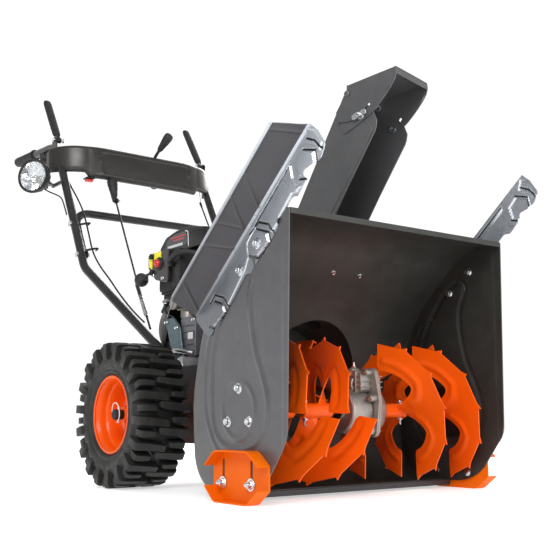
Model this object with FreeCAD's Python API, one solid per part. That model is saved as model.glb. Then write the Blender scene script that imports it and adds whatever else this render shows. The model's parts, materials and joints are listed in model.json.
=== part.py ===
import FreeCAD, Part
import math
import os

# Two stage snowblower, in millimetres. X runs across the machine, Y runs back
# towards the operator, Z is up and zero on the ground. Stations along Y are
# counted from a datum just behind the front lip of the auger housing. On
# export everything is shifted so that the origin lies on the ground under the
# middle of the machine.

ORIGIN_Y = 708.5

# Auger housing
HALF_WIDTH = 307.5
PLATE = 3.0
WRAP = 2.5
FRONT_Y = -35.0
AUGER_Y = 137.0
AUGER_Z = 183.0
BEARING_BOLT_CIRCLE = 45.0
WRAP_PATH = [(FRONT_Y, 571), (75, 571), (262, 410), (318, 215), (300, 20), (150, 20)]
WRAP_RADII = [0, 150, 300, 300, 85, 0]
PLATE_OUTLINE = [(-37, 574), (76, 574), (264.5, 412), (321, 215.5), (303, 17.5), (60, 17.5), (-28, 128)]
PLATE_RADII = [4, 150, 300, 300, 87, 120, 60]
CUTTER_BOLTS = ((62, 515), (127, 469))
BEARING_BOLTS = [(AUGER_Y + BEARING_BOLT_CIRCLE * math.cos(math.radians(a)),
                  AUGER_Z + BEARING_BOLT_CIRCLE * math.sin(math.radians(a))) for a in (90, 210, 330)]
SKID_STUDS = ((85, 38), (186, 38))
SPARE_HOLES = ((21, 460), (21, 284), (21, 89))

# Auger
SHAFT_R = 10.0
SLEEVE_R = 16.0
BLADE_R = 160.0
BLADE_ROOT_R = 149.0
BAND_INNER_R = 90.0
BLADE_T = 3.0
BLADE_PITCH = 240.0
BLADE_SPAN = 176.0
BLADE_TEETH = 6
SLEEVES = ((72, 150), (176, 292))
SHEAR_BOLT_X = (140, 284)
# Middle station across the machine and middle angle of every half-turn blade
RIGHT_BLADES = ((128, 95), (228, 95), (93, 275), (200, 275))
LEFT_BLADES = ((128, 0), (240, 0), (93, 180), (205, 180))

# Impeller and its drum
IMPELLER_Z = 240.0
DRUM_Z = 256.0
DRUM_R = 144.0
DRUM_REAR_Y = 430.0
IMPELLER_R = 124.0

# Worm gearbox in the middle of the auger
CLAMP_BOLTS = ((100, 266), (174, 266), (86, 209), (188, 209), (94, 138), (180, 138))
SPLIT_X = 20.0
CASE_TOP_Z = 276.0

# Chute, in its own frame: f forward of the turning axis, u to its right
CHUTE_Y = 355.0
CHUTE_TURN = math.radians(14.4)
CHUTE_HALF = 67.0
CHUTE_SHEET = 2.5
CHUTE_LEAN = 0.624
SPOUT_R = 66.0
RING_Z = 438.0
CHUTE_BASE_Z = RING_Z + 8.4
HOOD_PIVOT = (214.0, 916.0)
HOOD_BOLT = (252.0, 856.0)

# Wheels
AXLE_Y = 660.0
AXLE_Z = 178.0
TYRE_R = 178.0
RIM_R = 94.0
TYRE_INNER_X = 212.0
TYRE_OUTER_X = 354.0
LUGS = 18

# Handles
TUBE_R = 12.5
TUBE_WALL = 2.0
HANDLE_X = 260.0
CRANK_Z = 404.0
PULLEY_Y = 474.0
HANDLE_RADII = [0, 90, 110, 0]
LEVER_PIVOT = (1240.0, 1036.0)
BRACE_X = 243.0
BRACE_R = 12.0
BRACE_BOLT = (1037.0, 640.0)
CLAMP_BOLT = (1094.0, 741.0)
BRACE_FACE_X = HANDLE_X - TUBE_R - 0.3

# Engine
RECOIL_Y = 742.4
BULB = (670.0, 569.0)
THROTTLE_PIVOT = (706.0, 549.0)

# Panel, gear control, lamp and cables
PANEL_PLAN = [(-292, 1268), (-286, 1222), (-196, 1150), (-140, 1137),
              (140, 1137), (196, 1150), (286, 1222), (292, 1268)]
GEAR_AXIS = (1152.0, 918.0)
ROD_PIN = (1118.0, 838.0)
ROD_X = -116.0
LAMP_CENTRE = (-352.0, 1188.0, 893.0)
LAMP_AXIS = (-0.84, -0.54, 0.0)
RIGHT_CABLE = [(-238, 1198, 892), (-230, 1160, 848), (-224, 1114, 788), (-226, 1068, 712), (-232, 1024, 648),
               (-236, 960, 596), (-234, 905, 556), (-226, 846, 500), (-208, 798, 450), (-192, 772, 424)]
LAMP_CABLE = [(-320, 1228, 878), (-300, 1222, 863), (-279, 1172, 841), (-277, 1147, 824), (-277, 1116, 772)]

SIDES = (("right", -1.0), ("left", 1.0))


# ---------------------------------------------------------------- helpers

def vec(x, y, z):
    return FreeCAD.Vector(x, y, z)


def box(x0, x1, y0, y1, z0, z1):
    return Part.makeBox(x1 - x0, y1 - y0, z1 - z0, vec(x0, y0, z0))


def sided_box(side, x0, x1, y0, y1, z0, z1):
    low, high = sorted((side * x0, side * x1))
    return box(low, high, y0, y1, z0, z1)


def rod(base, axis, radius, length):
    return Part.makeCylinder(radius, length, vec(*base), vec(*axis))


def rod_x(x0, x1, y, z, radius):
    low, high = sorted((x0, x1))
    return rod((low, y, z), (1, 0, 0), radius, high - low)


def rod_y(x, y0, y1, z, radius):
    return rod((x, y0, z), (0, 1, 0), radius, y1 - y0)


def rod_z(x, y, z0, z1, radius):
    return rod((x, y, z0), (0, 0, 1), radius, z1 - z0)


def rod_between(start, end, radius):
    span = vec(*end) - vec(*start)
    return Part.makeCylinder(radius, span.Length, vec(*start), span)


def hexagon(base, axis, across_flats, height):
    corner = across_flats / math.sqrt(3)
    points = [vec(corner * math.cos(math.radians(60 * k)),
                  corner * math.sin(math.radians(60 * k)), 0) for k in range(7)]
    prism = Part.Face(Part.makePolygon(points)).extrude(vec(0, 0, height))
    prism.Placement = FreeCAD.Placement(vec(*base), FreeCAD.Rotation(vec(0, 0, 1), vec(*axis)))
    return prism


def join(shapes):
    shapes = list(shapes)
    if len(shapes) == 1:
        return shapes[0]
    return shapes[0].multiFuse(shapes[1:]).removeSplitter()


def group(shapes):
    return Part.makeCompound([solid for shape in shapes for solid in shape.Solids])


def rounded_wire(points, radii, closed):
    # Straight runs joined by tangent arcs, one radius for each point.
    points = [vec(*point) for point in points]
    count = len(points)
    corners = []
    for index, point in enumerate(points):
        at_end = not closed and index in (0, count - 1)
        if at_end or radii[index] == 0:
            corners.append((point, None, point))
            continue
        back = (points[index - 1] - point).normalize()
        ahead = (points[(index + 1) % count] - point).normalize()
        turn = math.pi - back.getAngle(ahead)
        reach = radii[index] * math.tan(turn / 2)
        inward = (back + ahead).normalize()
        middle = point + inward * (radii[index] / math.cos(turn / 2) - radii[index])
        corners.append((point + back * reach, middle, point + ahead * reach))
    edges = []
    for index, (start, middle, end) in enumerate(corners):
        if middle is not None:
            edges.append(Part.Arc(start, middle, end).toShape())
        if not closed and index == count - 1:
            break
        following = corners[(index + 1) % count][0]
        if (following - end).Length > 1e-6:
            edges.append(Part.LineSegment(end, following).toShape())
    return Part.Wire(edges)


def plate_x(outline, radii, x0, x1):
    # A plate across X from its (y, z) outline.
    wire = rounded_wire([(x0, y, z) for y, z in outline], radii, True)
    return Part.Face(wire).extrude(vec(x1 - x0, 0, 0))


def plate_z(outline, radii, z0, z1):
    wire = rounded_wire([(x, y, z0) for x, y in outline], radii, True)
    return Part.Face(wire).extrude(vec(0, 0, z1 - z0))


def strip_outline(points, radii, thickness):
    # Closed outline of a bent sheet whose left side is thickness away.
    normals = []
    for (a, b), (c, d) in zip(points, points[1:]):
        length = math.hypot(c - a, d - b)
        normals.append(((b - d) / length, (c - a) / length))
    moved = []
    outer_radii = []
    for index, (a, b) in enumerate(points):
        first = normals[max(index - 1, 0)]
        second = normals[min(index, len(normals) - 1)]
        scale = thickness / (1 + first[0] * second[0] + first[1] * second[1])
        moved.append((a + scale * (first[0] + second[0]), b + scale * (first[1] + second[1])))
        right_turn = first[0] * second[1] - first[1] * second[0] < 0
        change = thickness if right_turn else -thickness
        outer_radii.append(radii[index] + change if radii[index] else 0)
    return points + moved[::-1], radii + outer_radii[::-1]


def sheet_x(points, radii, thickness, x0, x1):
    outline, all_radii = strip_outline(points, radii, thickness)
    return plate_x(outline, all_radii, x0, x1)


def pipe(points, radii, radius):
    path = rounded_wire(points, radii, False)
    start = vec(*points[0])
    circle = Part.Circle(start, vec(*points[1]) - start, radius).toShape()
    return Part.Wire(path).makePipeShell([Part.Wire(circle)], True, True)


def bend_radii(points, minimum):
    # Each bend as large as its two runs allow.
    radii = [0]
    for before, point, after in zip(points, points[1:], points[2:]):
        back = vec(*before) - vec(*point)
        ahead = vec(*after) - vec(*point)
        turn = math.pi - back.getAngle(ahead)
        radii.append(max(minimum, 0.45 * min(back.Length, ahead.Length) / math.tan(turn / 2)))
    return radii + [0]


def cord(name, points, radius):
    radii = bend_radii(points, 0)
    solid = pipe(points, radii, radius)
    length = rounded_wire(points, radii, False).Length
    filled = solid.Volume / (math.pi * radius ** 2 * length)
    print(name, "radii", [round(value) for value in radii[1:-1]],
          "length", round(length), "fill", round(filled, 3))
    return solid


def revolve_x(profile, y, z):
    # A ring about the X axis through (y, z) from its (x, r) outline.
    points = [vec(x, y, z + r) for x, r in profile]
    face = Part.Face(Part.makePolygon(points + points[:1]))
    return face.revolve(vec(0, y, z), vec(1, 0, 0), 360)


def polyhedron(stations):
    # A closed solid through a row of four-cornered sections.
    faces = []

    def add(*corners):
        faces.append(Part.Face(Part.makePolygon(list(corners) + [corners[0]])))

    for before, after in zip(stations, stations[1:]):
        for k in range(4):
            following = (k + 1) % 4
            add(before[k], before[following], after[following])
            add(before[k], after[following], after[k])
    for end in (stations[0], stations[-1]):
        add(end[0], end[1], end[2])
        add(end[0], end[2], end[3])
    solid = Part.Solid(Part.Shell(faces))
    if solid.Volume < 0:
        solid.reverse()
    return solid


def save(name, shape):
    shape = shape.copy()
    shape.translate(vec(0, -ORIGIN_Y, 0))
    if not shape.isValid():
        print("INVALID", name)
    shape.exportStep("parts/" + name + ".step")
    extent = shape.BoundBox
    print("%-22s solids %2d  X %7.1f %7.1f  Y %7.1f %7.1f  Z %7.1f %7.1f" % (
        name, len(shape.Solids), extent.XMin, extent.XMax, extent.YMin, extent.YMax,
        extent.ZMin, extent.ZMax))


def flange_bolt_x(side, face_x, y, z, shank):
    # A washer-faced hexagon bolt whose head bears on face_x, pointing inwards.
    head = rod_x(side * face_x, side * (face_x + 1.8), y, z, 9.5)
    flats = hexagon((side * (face_x + 1.8), y, z), (side, 0, 0), 12.5, 5.0)
    return join([head, flats, rod_x(side * face_x, side * (face_x - shank), y, z, 4.0)])


# ---------------------------------------------------------------- auger housing


def auger_housing():
    wrap = sheet_x(WRAP_PATH, WRAP_RADII, WRAP, -HALF_WIDTH, HALF_WIDTH)
    lip = box(-HALF_WIDTH, HALF_WIDTH, FRONT_Y - WRAP, FRONT_Y, 562, 573.5)
    mouth = rod_y(0, 200, 360, DRUM_Z, DRUM_R - 4)
    return join([wrap, lip]).cut(mouth)


def side_plate(side):
    plate = plate_x(PLATE_OUTLINE, PLATE_RADII, side * HALF_WIDTH, side * (HALF_WIDTH + PLATE))
    cutters = [rod_x(side * 300, side * 320, y, z, 4.2) for y, z in CUTTER_BOLTS]
    cutters += [rod_x(side * 300, side * 320, y, z, 4.2) for y, z in BEARING_BOLTS]
    cutters += [rod_x(side * 300, side * 320, y, z, 4.2) for y, z in SKID_STUDS]
    cutters += [sided_box(side, 300, 320, y - 4, y + 4, z - 4, z + 4) for y, z in SPARE_HOLES]
    return plate.cut(cutters)


def impeller_housing():
    outline = [(FRONT_Y, 573.5), (76, 573.5), (264.5, 412), (321, 215.5), (303, 17.5), (FRONT_Y, 17.5)]
    outside = plate_x(outline, [0, 150, 300, 300, 87, 0], -HALF_WIDTH, HALF_WIDTH)
    wall = 2.5
    drum = rod_y(0, 230, DRUM_REAR_Y, DRUM_Z, DRUM_R + wall)
    spout = rod_z(0, CHUTE_Y, DRUM_Z, RING_Z + 8, SPOUT_R)
    hollow = rod_y(0, 220, DRUM_REAR_Y - wall, DRUM_Z, DRUM_R)
    throat = rod_z(0, CHUTE_Y, DRUM_Z, RING_Z + 9, SPOUT_R - wall)
    boss = rod_y(0, DRUM_REAR_Y - wall, DRUM_REAR_Y + 2, IMPELLER_Z, 40)
    hole = rod_y(0, DRUM_REAR_Y - 20, DRUM_REAR_Y + 20, IMPELLER_Z, 24)
    shell = join([drum, spout, boss]).cut([hollow, throat, hole])
    return shell.cut(outside)


def chute_ring():
    # A bolted collar under the chute flange and three hooked clips over it.
    collar = rod_z(0, CHUTE_Y, RING_Z, RING_Z + 8, 90)
    pieces = [collar]
    for angle in (60, 180, 300):
        spin = FreeCAD.Rotation(vec(0, 0, 1), angle)
        post = box(86, 90, -11, 11, RING_Z + 7, RING_Z + 18)
        hook = box(77, 90, -11, 11, RING_Z + 15, RING_Z + 18)
        clip = join([post, hook])
        clip.Placement = FreeCAD.Placement(vec(0, CHUTE_Y, 0), spin)
        pieces.append(clip)
    return join(pieces).cut(rod_z(0, CHUTE_Y, RING_Z - 5, RING_Z + 30, SPOUT_R))


def scraper_bar():
    blade = box(-HALF_WIDTH, HALF_WIDTH, 142, 149.6, 6, 17.5)
    foot = box(-HALF_WIDTH, HALF_WIDTH, 149.6, 212, 13.5, 17.5)
    return join([blade, foot])


def drift_cutter(side):
    # A flange plate on the side plate and a blade folded out and back from it.
    top = (-108, 722)
    low = (302, 390)
    outline = [top, low, (301, 380), (246, 337), (214, 357), (172, 397), (150, 416), (107, 460), (91, 458),
               (77, 473), (55, 489), (17, 520), (0, 535), (-4, 552), (-50, 591), (-66, 589), (-78, 600),
               (-91, 613), (-92, 634), (-121, 642), (-139, 649), (-151, 673), (-128, 706)]
    inner = HALF_WIDTH + PLATE
    flange = plate_x(outline, [0] * len(outline), side * inner, side * (inner + 2.5))
    holes = [rod_x(side * 300, side * 320, y, z, 4.2) for y, z in CUTTER_BOLTS]
    holes += [rod_x(side * 300, side * 320, 213, 384, 5.0), rod_x(side * 300, side * 320, -96, 652, 5.0)]
    run = math.hypot(low[0] - top[0], low[1] - top[1])
    along = vec(0, (low[0] - top[0]) / run, (low[1] - top[1]) / run)
    across = vec(side * 67, 18.9, 23.3).normalize()
    normal = along.cross(across).normalize() * side
    corner = vec(side * inner, top[0], top[1])
    blade_outline = [(0, 0), (8, 15), (34, 73), (500, 73), (512, 66), (527, 0)]
    points = [corner + along * s + across * w for s, w in blade_outline]
    blade = Part.Face(Part.makePolygon(points + points[:1])).extrude(normal * 2.5)
    lip_points = [corner + along * s + across * 71 for s in (34, 500)]
    turn_up = normal * 10.5
    lip_points = lip_points + [lip_points[1] + turn_up, lip_points[0] + turn_up]
    lip = Part.Face(Part.makePolygon(lip_points + lip_points[:1])).extrude(across * 2)
    slots = []
    for start, end in ((133, 173), (338, 381)):
        slot = [corner + along * s + across * w for s, w in ((start, 9), (end, 9), (end, 15), (start, 15))]
        face = Part.Face(Part.makePolygon(slot + slot[:1]))
        slots.append(face.extrude(normal * 12))
        slots.append(face.extrude(normal * -12))
    return join([flange, blade, lip]).cut(holes + slots)


def housing_bolts():
    pieces = []
    for _, side in SIDES:
        for y, z in CUTTER_BOLTS:
            pieces.append(flange_bolt_x(side, HALF_WIDTH + PLATE + 2.5, y, z, 16))
            nut = hexagon((side * HALF_WIDTH, y, z), (-side, 0, 0), 13, 6.5)
            pieces.append(nut.cut(rod_x(side * 290, side * 310, y, z, 4.0)))
        for y, z in BEARING_BOLTS:
            pieces.append(flange_bolt_x(side, HALF_WIDTH + PLATE, y, z, 14))
    # Two small screws in the sloping top of the wrap, heads inside.
    for x in (-35, 45):
        pieces.append(rod((x, 163.2, 495), (0, -0.652, -0.758), 7, 4))
    return group(pieces)


def shaft_bearings():
    pieces = []
    for _, side in SIDES:
        disc = rod_x(side * 300.5, side * HALF_WIDTH, AUGER_Y, AUGER_Z, 60)
        boss = rod_x(side * 294, side * 302, AUGER_Y, AUGER_Z, 22)
        holes = [rod_x(side * 290, side * 310, y, z, 4.0) for y, z in BEARING_BOLTS]
        bore = rod_x(side * 290, side * 306, AUGER_Y, AUGER_Z, SHAFT_R + 0.06)
        pieces.append(join([disc, boss]).cut(holes + [bore]))
    rear = join([rod_y(0, DRUM_REAR_Y - 12, DRUM_REAR_Y + 12, IMPELLER_Z, 24),
                 rod_y(0, DRUM_REAR_Y + 2, DRUM_REAR_Y + 5, IMPELLER_Z, 38)])
    pieces.append(rear.cut(rod_y(0, DRUM_REAR_Y - 20, DRUM_REAR_Y + 20, IMPELLER_Z, 9.56)))
    for _, side in SIDES:
        barrel = rod_x(side * 157, side * 168, AXLE_Y, AXLE_Z, 22)
        collar = rod_x(side * 160, side * 163, AXLE_Y, AXLE_Z, 30)
        pieces.append(join([barrel, collar]).cut(rod_x(side * 150, side * 175, AXLE_Y, AXLE_Z, 12.06)))
    return group(pieces)


def skid_shoe(side):
    # A slotted plate with curled runners, the same at top and bottom.
    face = HALF_WIDTH + PLATE + 0.5
    outline = [(26, 28), (64, 0), (190, 0), (224, 22), (224, 82), (190, 104), (64, 104), (26, 76)]
    plate = plate_x(outline, [4, 24, 24, 6, 6, 24, 24, 4], side * face, side * (face + 3))
    runners = []
    for base, turn in ((0, 1), (104, -1)):
        path = [(26, base + turn * 28), (64, base), (182, base), (218, base + turn * 30)]
        lift = 3 if turn > 0 else -3
        runners.append(sheet_x(path, [0, 24, 30, 0], lift, side * (face + 3), side * (face + 30)))
    slots = []
    for y, _ in SKID_STUDS:
        slots.append(sided_box(side, 300, 320, y - 4.6, y + 4.6, 38, 82))
        slots.append(rod_x(side * 300, side * 320, y, 38, 4.6))
        slots.append(rod_x(side * 300, side * 320, y, 82, 4.6))
    return join([plate] + runners).cut(slots)


def skid_nuts():
    pieces = []
    face = HALF_WIDTH + PLATE + 0.5 + 3 + 0.4
    for _, side in SIDES:
        for y, z in SKID_STUDS:
            stud = rod_x(side * 305, side * (face + 16), y, z, 4.0)
            head = rod_x(side * 304.5, side * HALF_WIDTH, y, z, 9)
            washer = rod_x(side * face, side * (face + 2), y, z, 11)
            nut = hexagon((side * (face + 2), y, z), (side, 0, 0), 13, 7)
            pieces.append(join([stud, head, washer, nut]))
    return group(pieces)


# ---------------------------------------------------------------- auger drive


def gearbox_case():
    # A deep right half carrying the worm tunnel and a shallow left cover.
    outline = [(86, CASE_TOP_Z), (188, CASE_TOP_Z), (203, 205), (192, 124), (82, 124), (71, 205)]
    flange = plate_x(outline, [14, 14, 30, 30, 30, 30], SPLIT_X - 5, SPLIT_X + 5)
    drum = rod_x(-44, 58, AUGER_Y, AUGER_Z, 48)
    necks = rod_x(-50, 66, AUGER_Y, AUGER_Z, 20)
    tunnel = rod_y(0, 120, 212, IMPELLER_Z, 22)
    web = box(-16, SPLIT_X, 120, 178, 190, IMPELLER_Z)
    whole = join([flange, drum, necks, tunnel, web])
    cavity = [rod_x(-38, 52, AUGER_Y, AUGER_Z, 43.5), rod_y(0, 124, 200, IMPELLER_Z, 17.5),
              rod_x(-70, 70, AUGER_Y, AUGER_Z, SHAFT_R + 0.06), rod_y(0, 190, 260, IMPELLER_Z, 9.56),
              rod_z(0, 137, 250, 300, 2.8)]
    bolts = [rod_x(0, 40, y, z, 3.2) for y, z in CLAMP_BOLTS]
    hollowed = whole.cut(cavity + bolts)
    return group([hollowed.common(box(-100, SPLIT_X, 0, 400, 0, 400)),
                  hollowed.common(box(SPLIT_X, 100, 0, 400, 0, 400))])


def gearbox_bolts():
    pieces = []
    for y, z in CLAMP_BOLTS:
        shank = rod_x(SPLIT_X - 10, SPLIT_X + 12, y, z, 3.2)
        head = hexagon((SPLIT_X - 5, y, z), (-1, 0, 0), 10, 5)
        nut = hexagon((SPLIT_X + 5, y, z), (1, 0, 0), 10, 5)
        pieces.append(join([shank, head, nut]))
    # The grease plug stands on the tunnel.
    plug = rod_z(0, AUGER_Y, IMPELLER_Z + 17.6, 292, 2.8)
    plug_head = hexagon((0, AUGER_Y, IMPELLER_Z + 22), (0, 0, 1), 9, 5)
    pieces.append(join([plug, plug_head]))
    return group(pieces)


def blade_outer_radius(angle):
    # A saw tooth at every equal step along the blade.
    step = BLADE_SPAN / BLADE_TEETH
    return BLADE_ROOT_R + (BLADE_R - BLADE_ROOT_R) * ((angle + BLADE_SPAN / 2) % step) / step


def auger_blade(side, x_centre, centre_angle):
    # Half a turn of serrated band carried on a web at its middle. Angles run
    # from the front of the auger down under it, in degrees.
    angles = [-31, -29, 29, 31]
    step = BLADE_SPAN / BLADE_TEETH
    for tooth in range(BLADE_TEETH):
        start = tooth * step - BLADE_SPAN / 2
        angles += [start + 0.01, start + step / 3, start + 2 * step / 3, start + step - 0.3]
    stations = []
    for angle in sorted(angles):
        inner = SHAFT_R + 2 if abs(angle) < 30 else BAND_INNER_R
        x = side * (x_centre + BLADE_PITCH * angle / 360)
        theta = math.radians(centre_angle + angle)
        corners = []
        for radius, dx in ((inner, -BLADE_T / 2), (blade_outer_radius(angle), -BLADE_T / 2),
                           (blade_outer_radius(angle), BLADE_T / 2), (inner, BLADE_T / 2)):
            y = AUGER_Y - radius * math.cos(theta)
            z = AUGER_Z - radius * math.sin(theta)
            corners.append(vec(x + dx, y, z))
        stations.append(corners)
    return polyhedron(stations)


def auger_side(side, blades):
    core = rod_x(side * 60, side * 300, AUGER_Y, AUGER_Z, SLEEVE_R)
    bore = rod_x(side * 60, side * 300, AUGER_Y, AUGER_Z, SHAFT_R)
    bolts = [rod_z(side * x, AUGER_Y, 140, 230, 3.2) for x in SHEAR_BOLT_X]
    tubes = [rod_x(side * start, side * end, AUGER_Y, AUGER_Z, SLEEVE_R) for start, end in SLEEVES]
    pieces = [tube.cut([bore] + bolts) for tube in tubes]
    pieces += [auger_blade(side, x_centre, angle).cut(core) for x_centre, angle in blades]
    return group(pieces)


def auger_shaft():
    shaft = rod_x(-304, 304, AUGER_Y, AUGER_Z, SHAFT_R)
    holes = [rod_z(side * x, AUGER_Y, 140, 230, 3.2) for _, side in SIDES for x in SHEAR_BOLT_X]
    return shaft.cut(holes)


def worm_wheel():
    teeth = 30
    points = []
    for k in range(2 * teeth):
        radius = 40.3 if k % 2 else 37.5
        angle = math.pi * k / teeth
        points.append((AUGER_Y + radius * math.cos(angle), AUGER_Z + radius * math.sin(angle)))
    rim = plate_x(points, [0] * len(points), -9, 9)
    return rim.cut(rod_x(-20, 20, AUGER_Y, AUGER_Z, SHAFT_R))


def shear_bolts():
    pieces = []
    for _, side in SIDES:
        for x in SHEAR_BOLT_X:
            shank = rod_z(side * x, AUGER_Y, AUGER_Z - 24, AUGER_Z + 17, 3.2)
            head = hexagon((side * x, AUGER_Y, AUGER_Z + 17), (0, 0, 1), 10, 4)
            pieces.append(join([shank, head]))
    return group(pieces)


def impeller():
    hub = rod_y(0, 334, 400, IMPELLER_Z, 20)
    blades = []
    for k in range(4):
        blade = box(-2, 2, 336, 404, 15, IMPELLER_R)
        lip = box(-2, 12, 336, 404, IMPELLER_R - 4, IMPELLER_R - 1)
        gusset = box(-2, 30, 400, 404, 15, IMPELLER_R - 20)
        paddle = join([blade, lip, gusset])
        turn = FreeCAD.Rotation(vec(0, 1, 0), 90 * k + 20)
        paddle.Placement = FreeCAD.Placement(vec(0, 0, IMPELLER_Z), turn)
        blades.append(paddle)
    return join([hub] + blades).cut(rod_y(0, 300, 440, IMPELLER_Z, 9.5))


def impeller_shaft():
    return join([rod_y(0, 126, 506, IMPELLER_Z, 9.5), rod_y(0, 128, 164, IMPELLER_Z, 16)])


def impeller_pulley():
    core = rod_y(0, PULLEY_Y, PULLEY_Y + 20, IMPELLER_Z, 66)
    rims = [rod_y(0, PULLEY_Y + y, PULLEY_Y + y + 3, IMPELLER_Z, 74) for y in (0, 17)]
    return join([core] + rims).cut(rod_y(0, PULLEY_Y - 5, PULLEY_Y + 30, IMPELLER_Z, 9.5))


def belt_loop(y0, y1, low_r, high_r):
    # The tangent outline round the two pulleys.
    span = CRANK_Z - IMPELLER_Z
    lean = math.asin((low_r - high_r) / span)
    cos, sin = math.cos(lean), math.sin(lean)
    points = [vec(side * r * cos, y0, z + r * sin) for side, r, z in
              ((-1, low_r, IMPELLER_Z), (-1, high_r, CRANK_Z), (1, high_r, CRANK_Z), (1, low_r, IMPELLER_Z))]
    edges = [Part.LineSegment(points[0], points[1]).toShape(),
             Part.Arc(points[1], vec(0, y0, CRANK_Z + high_r), points[2]).toShape(),
             Part.LineSegment(points[2], points[3]).toShape(),
             Part.Arc(points[3], vec(0, y0, IMPELLER_Z - low_r), points[0]).toShape()]
    return Part.Face(Part.Wire(edges)).extrude(vec(0, y1 - y0, 0))


def drive_belt():
    y0, y1 = PULLEY_Y + 4, PULLEY_Y + 16
    return belt_loop(y0, y1, 74, 40).cut(belt_loop(y0 - 1, y1 + 1, 66.6, 32.6))


def belt_cover():
    shell = belt_loop(PULLEY_Y - 28, PULLEY_Y + 38, 92, 62)
    return shell.cut([belt_loop(PULLEY_Y - 25, PULLEY_Y + 60, 89, 59), rod_y(0, 430, 460, IMPELLER_Z, 14)])


# ---------------------------------------------------------------- frame and wheels

def transmission_case():
    # The folded frame box that carries the engine, the axle and the handles.
    shell = box(-160, 160, 516, 741, 106, 300).cut(box(-157, 157, 519, 738, 109, 297))
    front = rod_y(0, 510, 530, IMPELLER_Z, 14)
    axle = [rod_x(-170, 170, AXLE_Y, AXLE_Z, 22), front]
    ears = []
    for _, side in SIDES:
        ear = plate_x([(640, 290), (740, 290), (740, 345), (700, 368), (665, 345)], [0, 0, 12, 12, 12],
                      side * 157, side * 160)
        ears.append(ear)
    struts = [sided_box(side, 150, 153, 424, 516, 150, 262) for _, side in SIDES]
    links = [sided_box(side, 112, 150, 424, 427, 150, 262) for _, side in SIDES]
    drum = rod_y(0, 400, 440, DRUM_Z, DRUM_R + 2.5)
    frame = join([shell] + ears + struts + [link.cut(drum) for link in links])
    return frame.cut(axle)


def wheel_axle():
    shaft = rod_x(-326, 326, AXLE_Y, AXLE_Z, 12)
    wheel = rod_x(-40, -28, AXLE_Y, AXLE_Z, 60)
    return join([shaft, wheel]).cut([rod_z(side * 318, AXLE_Y, 150, 210, 3.3) for _, side in SIDES])


def rim_profile(side):
    # Deep dished pressed rim with a tube hub, as (x, r).
    inner, outer = TYRE_INNER_X + 14, TYRE_OUTER_X - 16
    disc_and_hub = [(252, 78), (258, 60), (262, 24), (215, 24), (215, 12.2),
                    (308, 12.2), (308, 20), (268, 20), (264, 58), (259, 75.5)]
    well = [(outer - 8, 77.5), (outer - 3, 84), (outer, RIM_R), (outer - 3, RIM_R), (outer - 8, 84),
            (outer - 16, 81), (inner + 16, 81), (inner + 8, 84), (inner + 3, RIM_R)]
    profile = [(inner, RIM_R), (inner, 82), (inner + 6, 80)] + disc_and_hub + well
    return [(side * x, r) for x, r in profile]


def tyre(side):
    inner, outer = TYRE_INNER_X, TYRE_OUTER_X
    profile = [(inner + 18, 84.5), (inner + 14.5, 94.5), (inner + 4, 104), (inner, 128), (inner + 3, 150),
               (inner + 14, 165), (inner + 34, 170), (outer - 34, 170), (outer - 14, 165), (outer - 3, 150),
               (outer, 128), (outer - 5, 104), (outer - 16.5, 94.5), (outer - 20, 84.5)]
    carcass = revolve_x([(side * x, r) for x, r in profile], AXLE_Y, AXLE_Z)
    inflation = revolve_x([(side * x, r) for x, r in
                           ((inner + 24, 84.4), (inner + 12, 128), (inner + 24, 154), (outer - 24, 154),
                            (outer - 12, 128), (outer - 24, 84.4))], AXLE_Y, AXLE_Z)
    lugs = []
    for k in range(LUGS):
        for row, (x0, x1) in enumerate(((inner, inner + 74), (outer - 74, outer))):
            block = sided_box(side, x0 + 4, x1 - 4, -11, 11, 160, TYRE_R)
            turn = 360.0 * (k + 0.5 * row) / LUGS + 180
            spin = FreeCAD.Rotation(vec(1, 0, 0), turn)
            block.Placement = FreeCAD.Placement(vec(0, AXLE_Y, AXLE_Z), spin)
            lugs.append(block)
    # The beads sit in the flanges of the rim.
    rim_outer = [(inner + 14, 60), (inner + 14, RIM_R), (inner + 17, RIM_R), (inner + 22, 84),
                 (inner + 30, 81), (outer - 32, 81), (outer - 24, 84), (outer - 19, RIM_R),
                 (outer - 16, RIM_R), (outer - 16, 60)]
    seat = revolve_x([(side * x, r) for x, r in rim_outer], AXLE_Y, AXLE_Z)
    return carcass.cut([inflation, seat]).multiFuse(lugs)


def hub_pins():
    pieces = []
    for _, side in SIDES:
        pin = rod_z(side * 318, AXLE_Y, AXLE_Z - 20, AXLE_Z + 20, 3.3)
        wire = Part.makeTorus(19.6, 1.6, vec(side * 320, AXLE_Y, AXLE_Z), vec(1, 0, 0))
        pieces.append(join([pin, wire]))
    return group(pieces)


# ---------------------------------------------------------------- engine

def engine_block():
    case = box(-90, 90, 545, 742, 300, 460)
    flange = rod_y(0, 530, 548, CRANK_Z, 62)
    crank = rod_y(0, PULLEY_Y - 4, 532, CRANK_Z, 11)
    hub = join([rod_y(0, PULLEY_Y, PULLEY_Y + 20, CRANK_Z, 32),
                rod_y(0, PULLEY_Y, PULLEY_Y + 3, CRANK_Z, 40),
                rod_y(0, PULLEY_Y + 17, PULLEY_Y + 20, CRANK_Z, 40)])
    fins = [box(90, 175, 560, 676, 372 + 14 * k, 376 + 14 * k) for k in range(9)]
    barrel = box(88, 172, 574, 662, 366, 492)
    head = box(172, 196, 568, 668, 370, 488)
    airbox = box(-118, -30, 560, 700, 455, 602)
    tank_post = box(10, 40, 560, 690, 455, 612)
    dipstick_boss = rod_z(-60, 722, 455, 478, 15)
    block = join([case, flange, crank, hub, barrel, head, airbox, tank_post, dipstick_boss] + fins)
    return block.cut(rod_z(-60, 722, 440, 490, 9))


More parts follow.
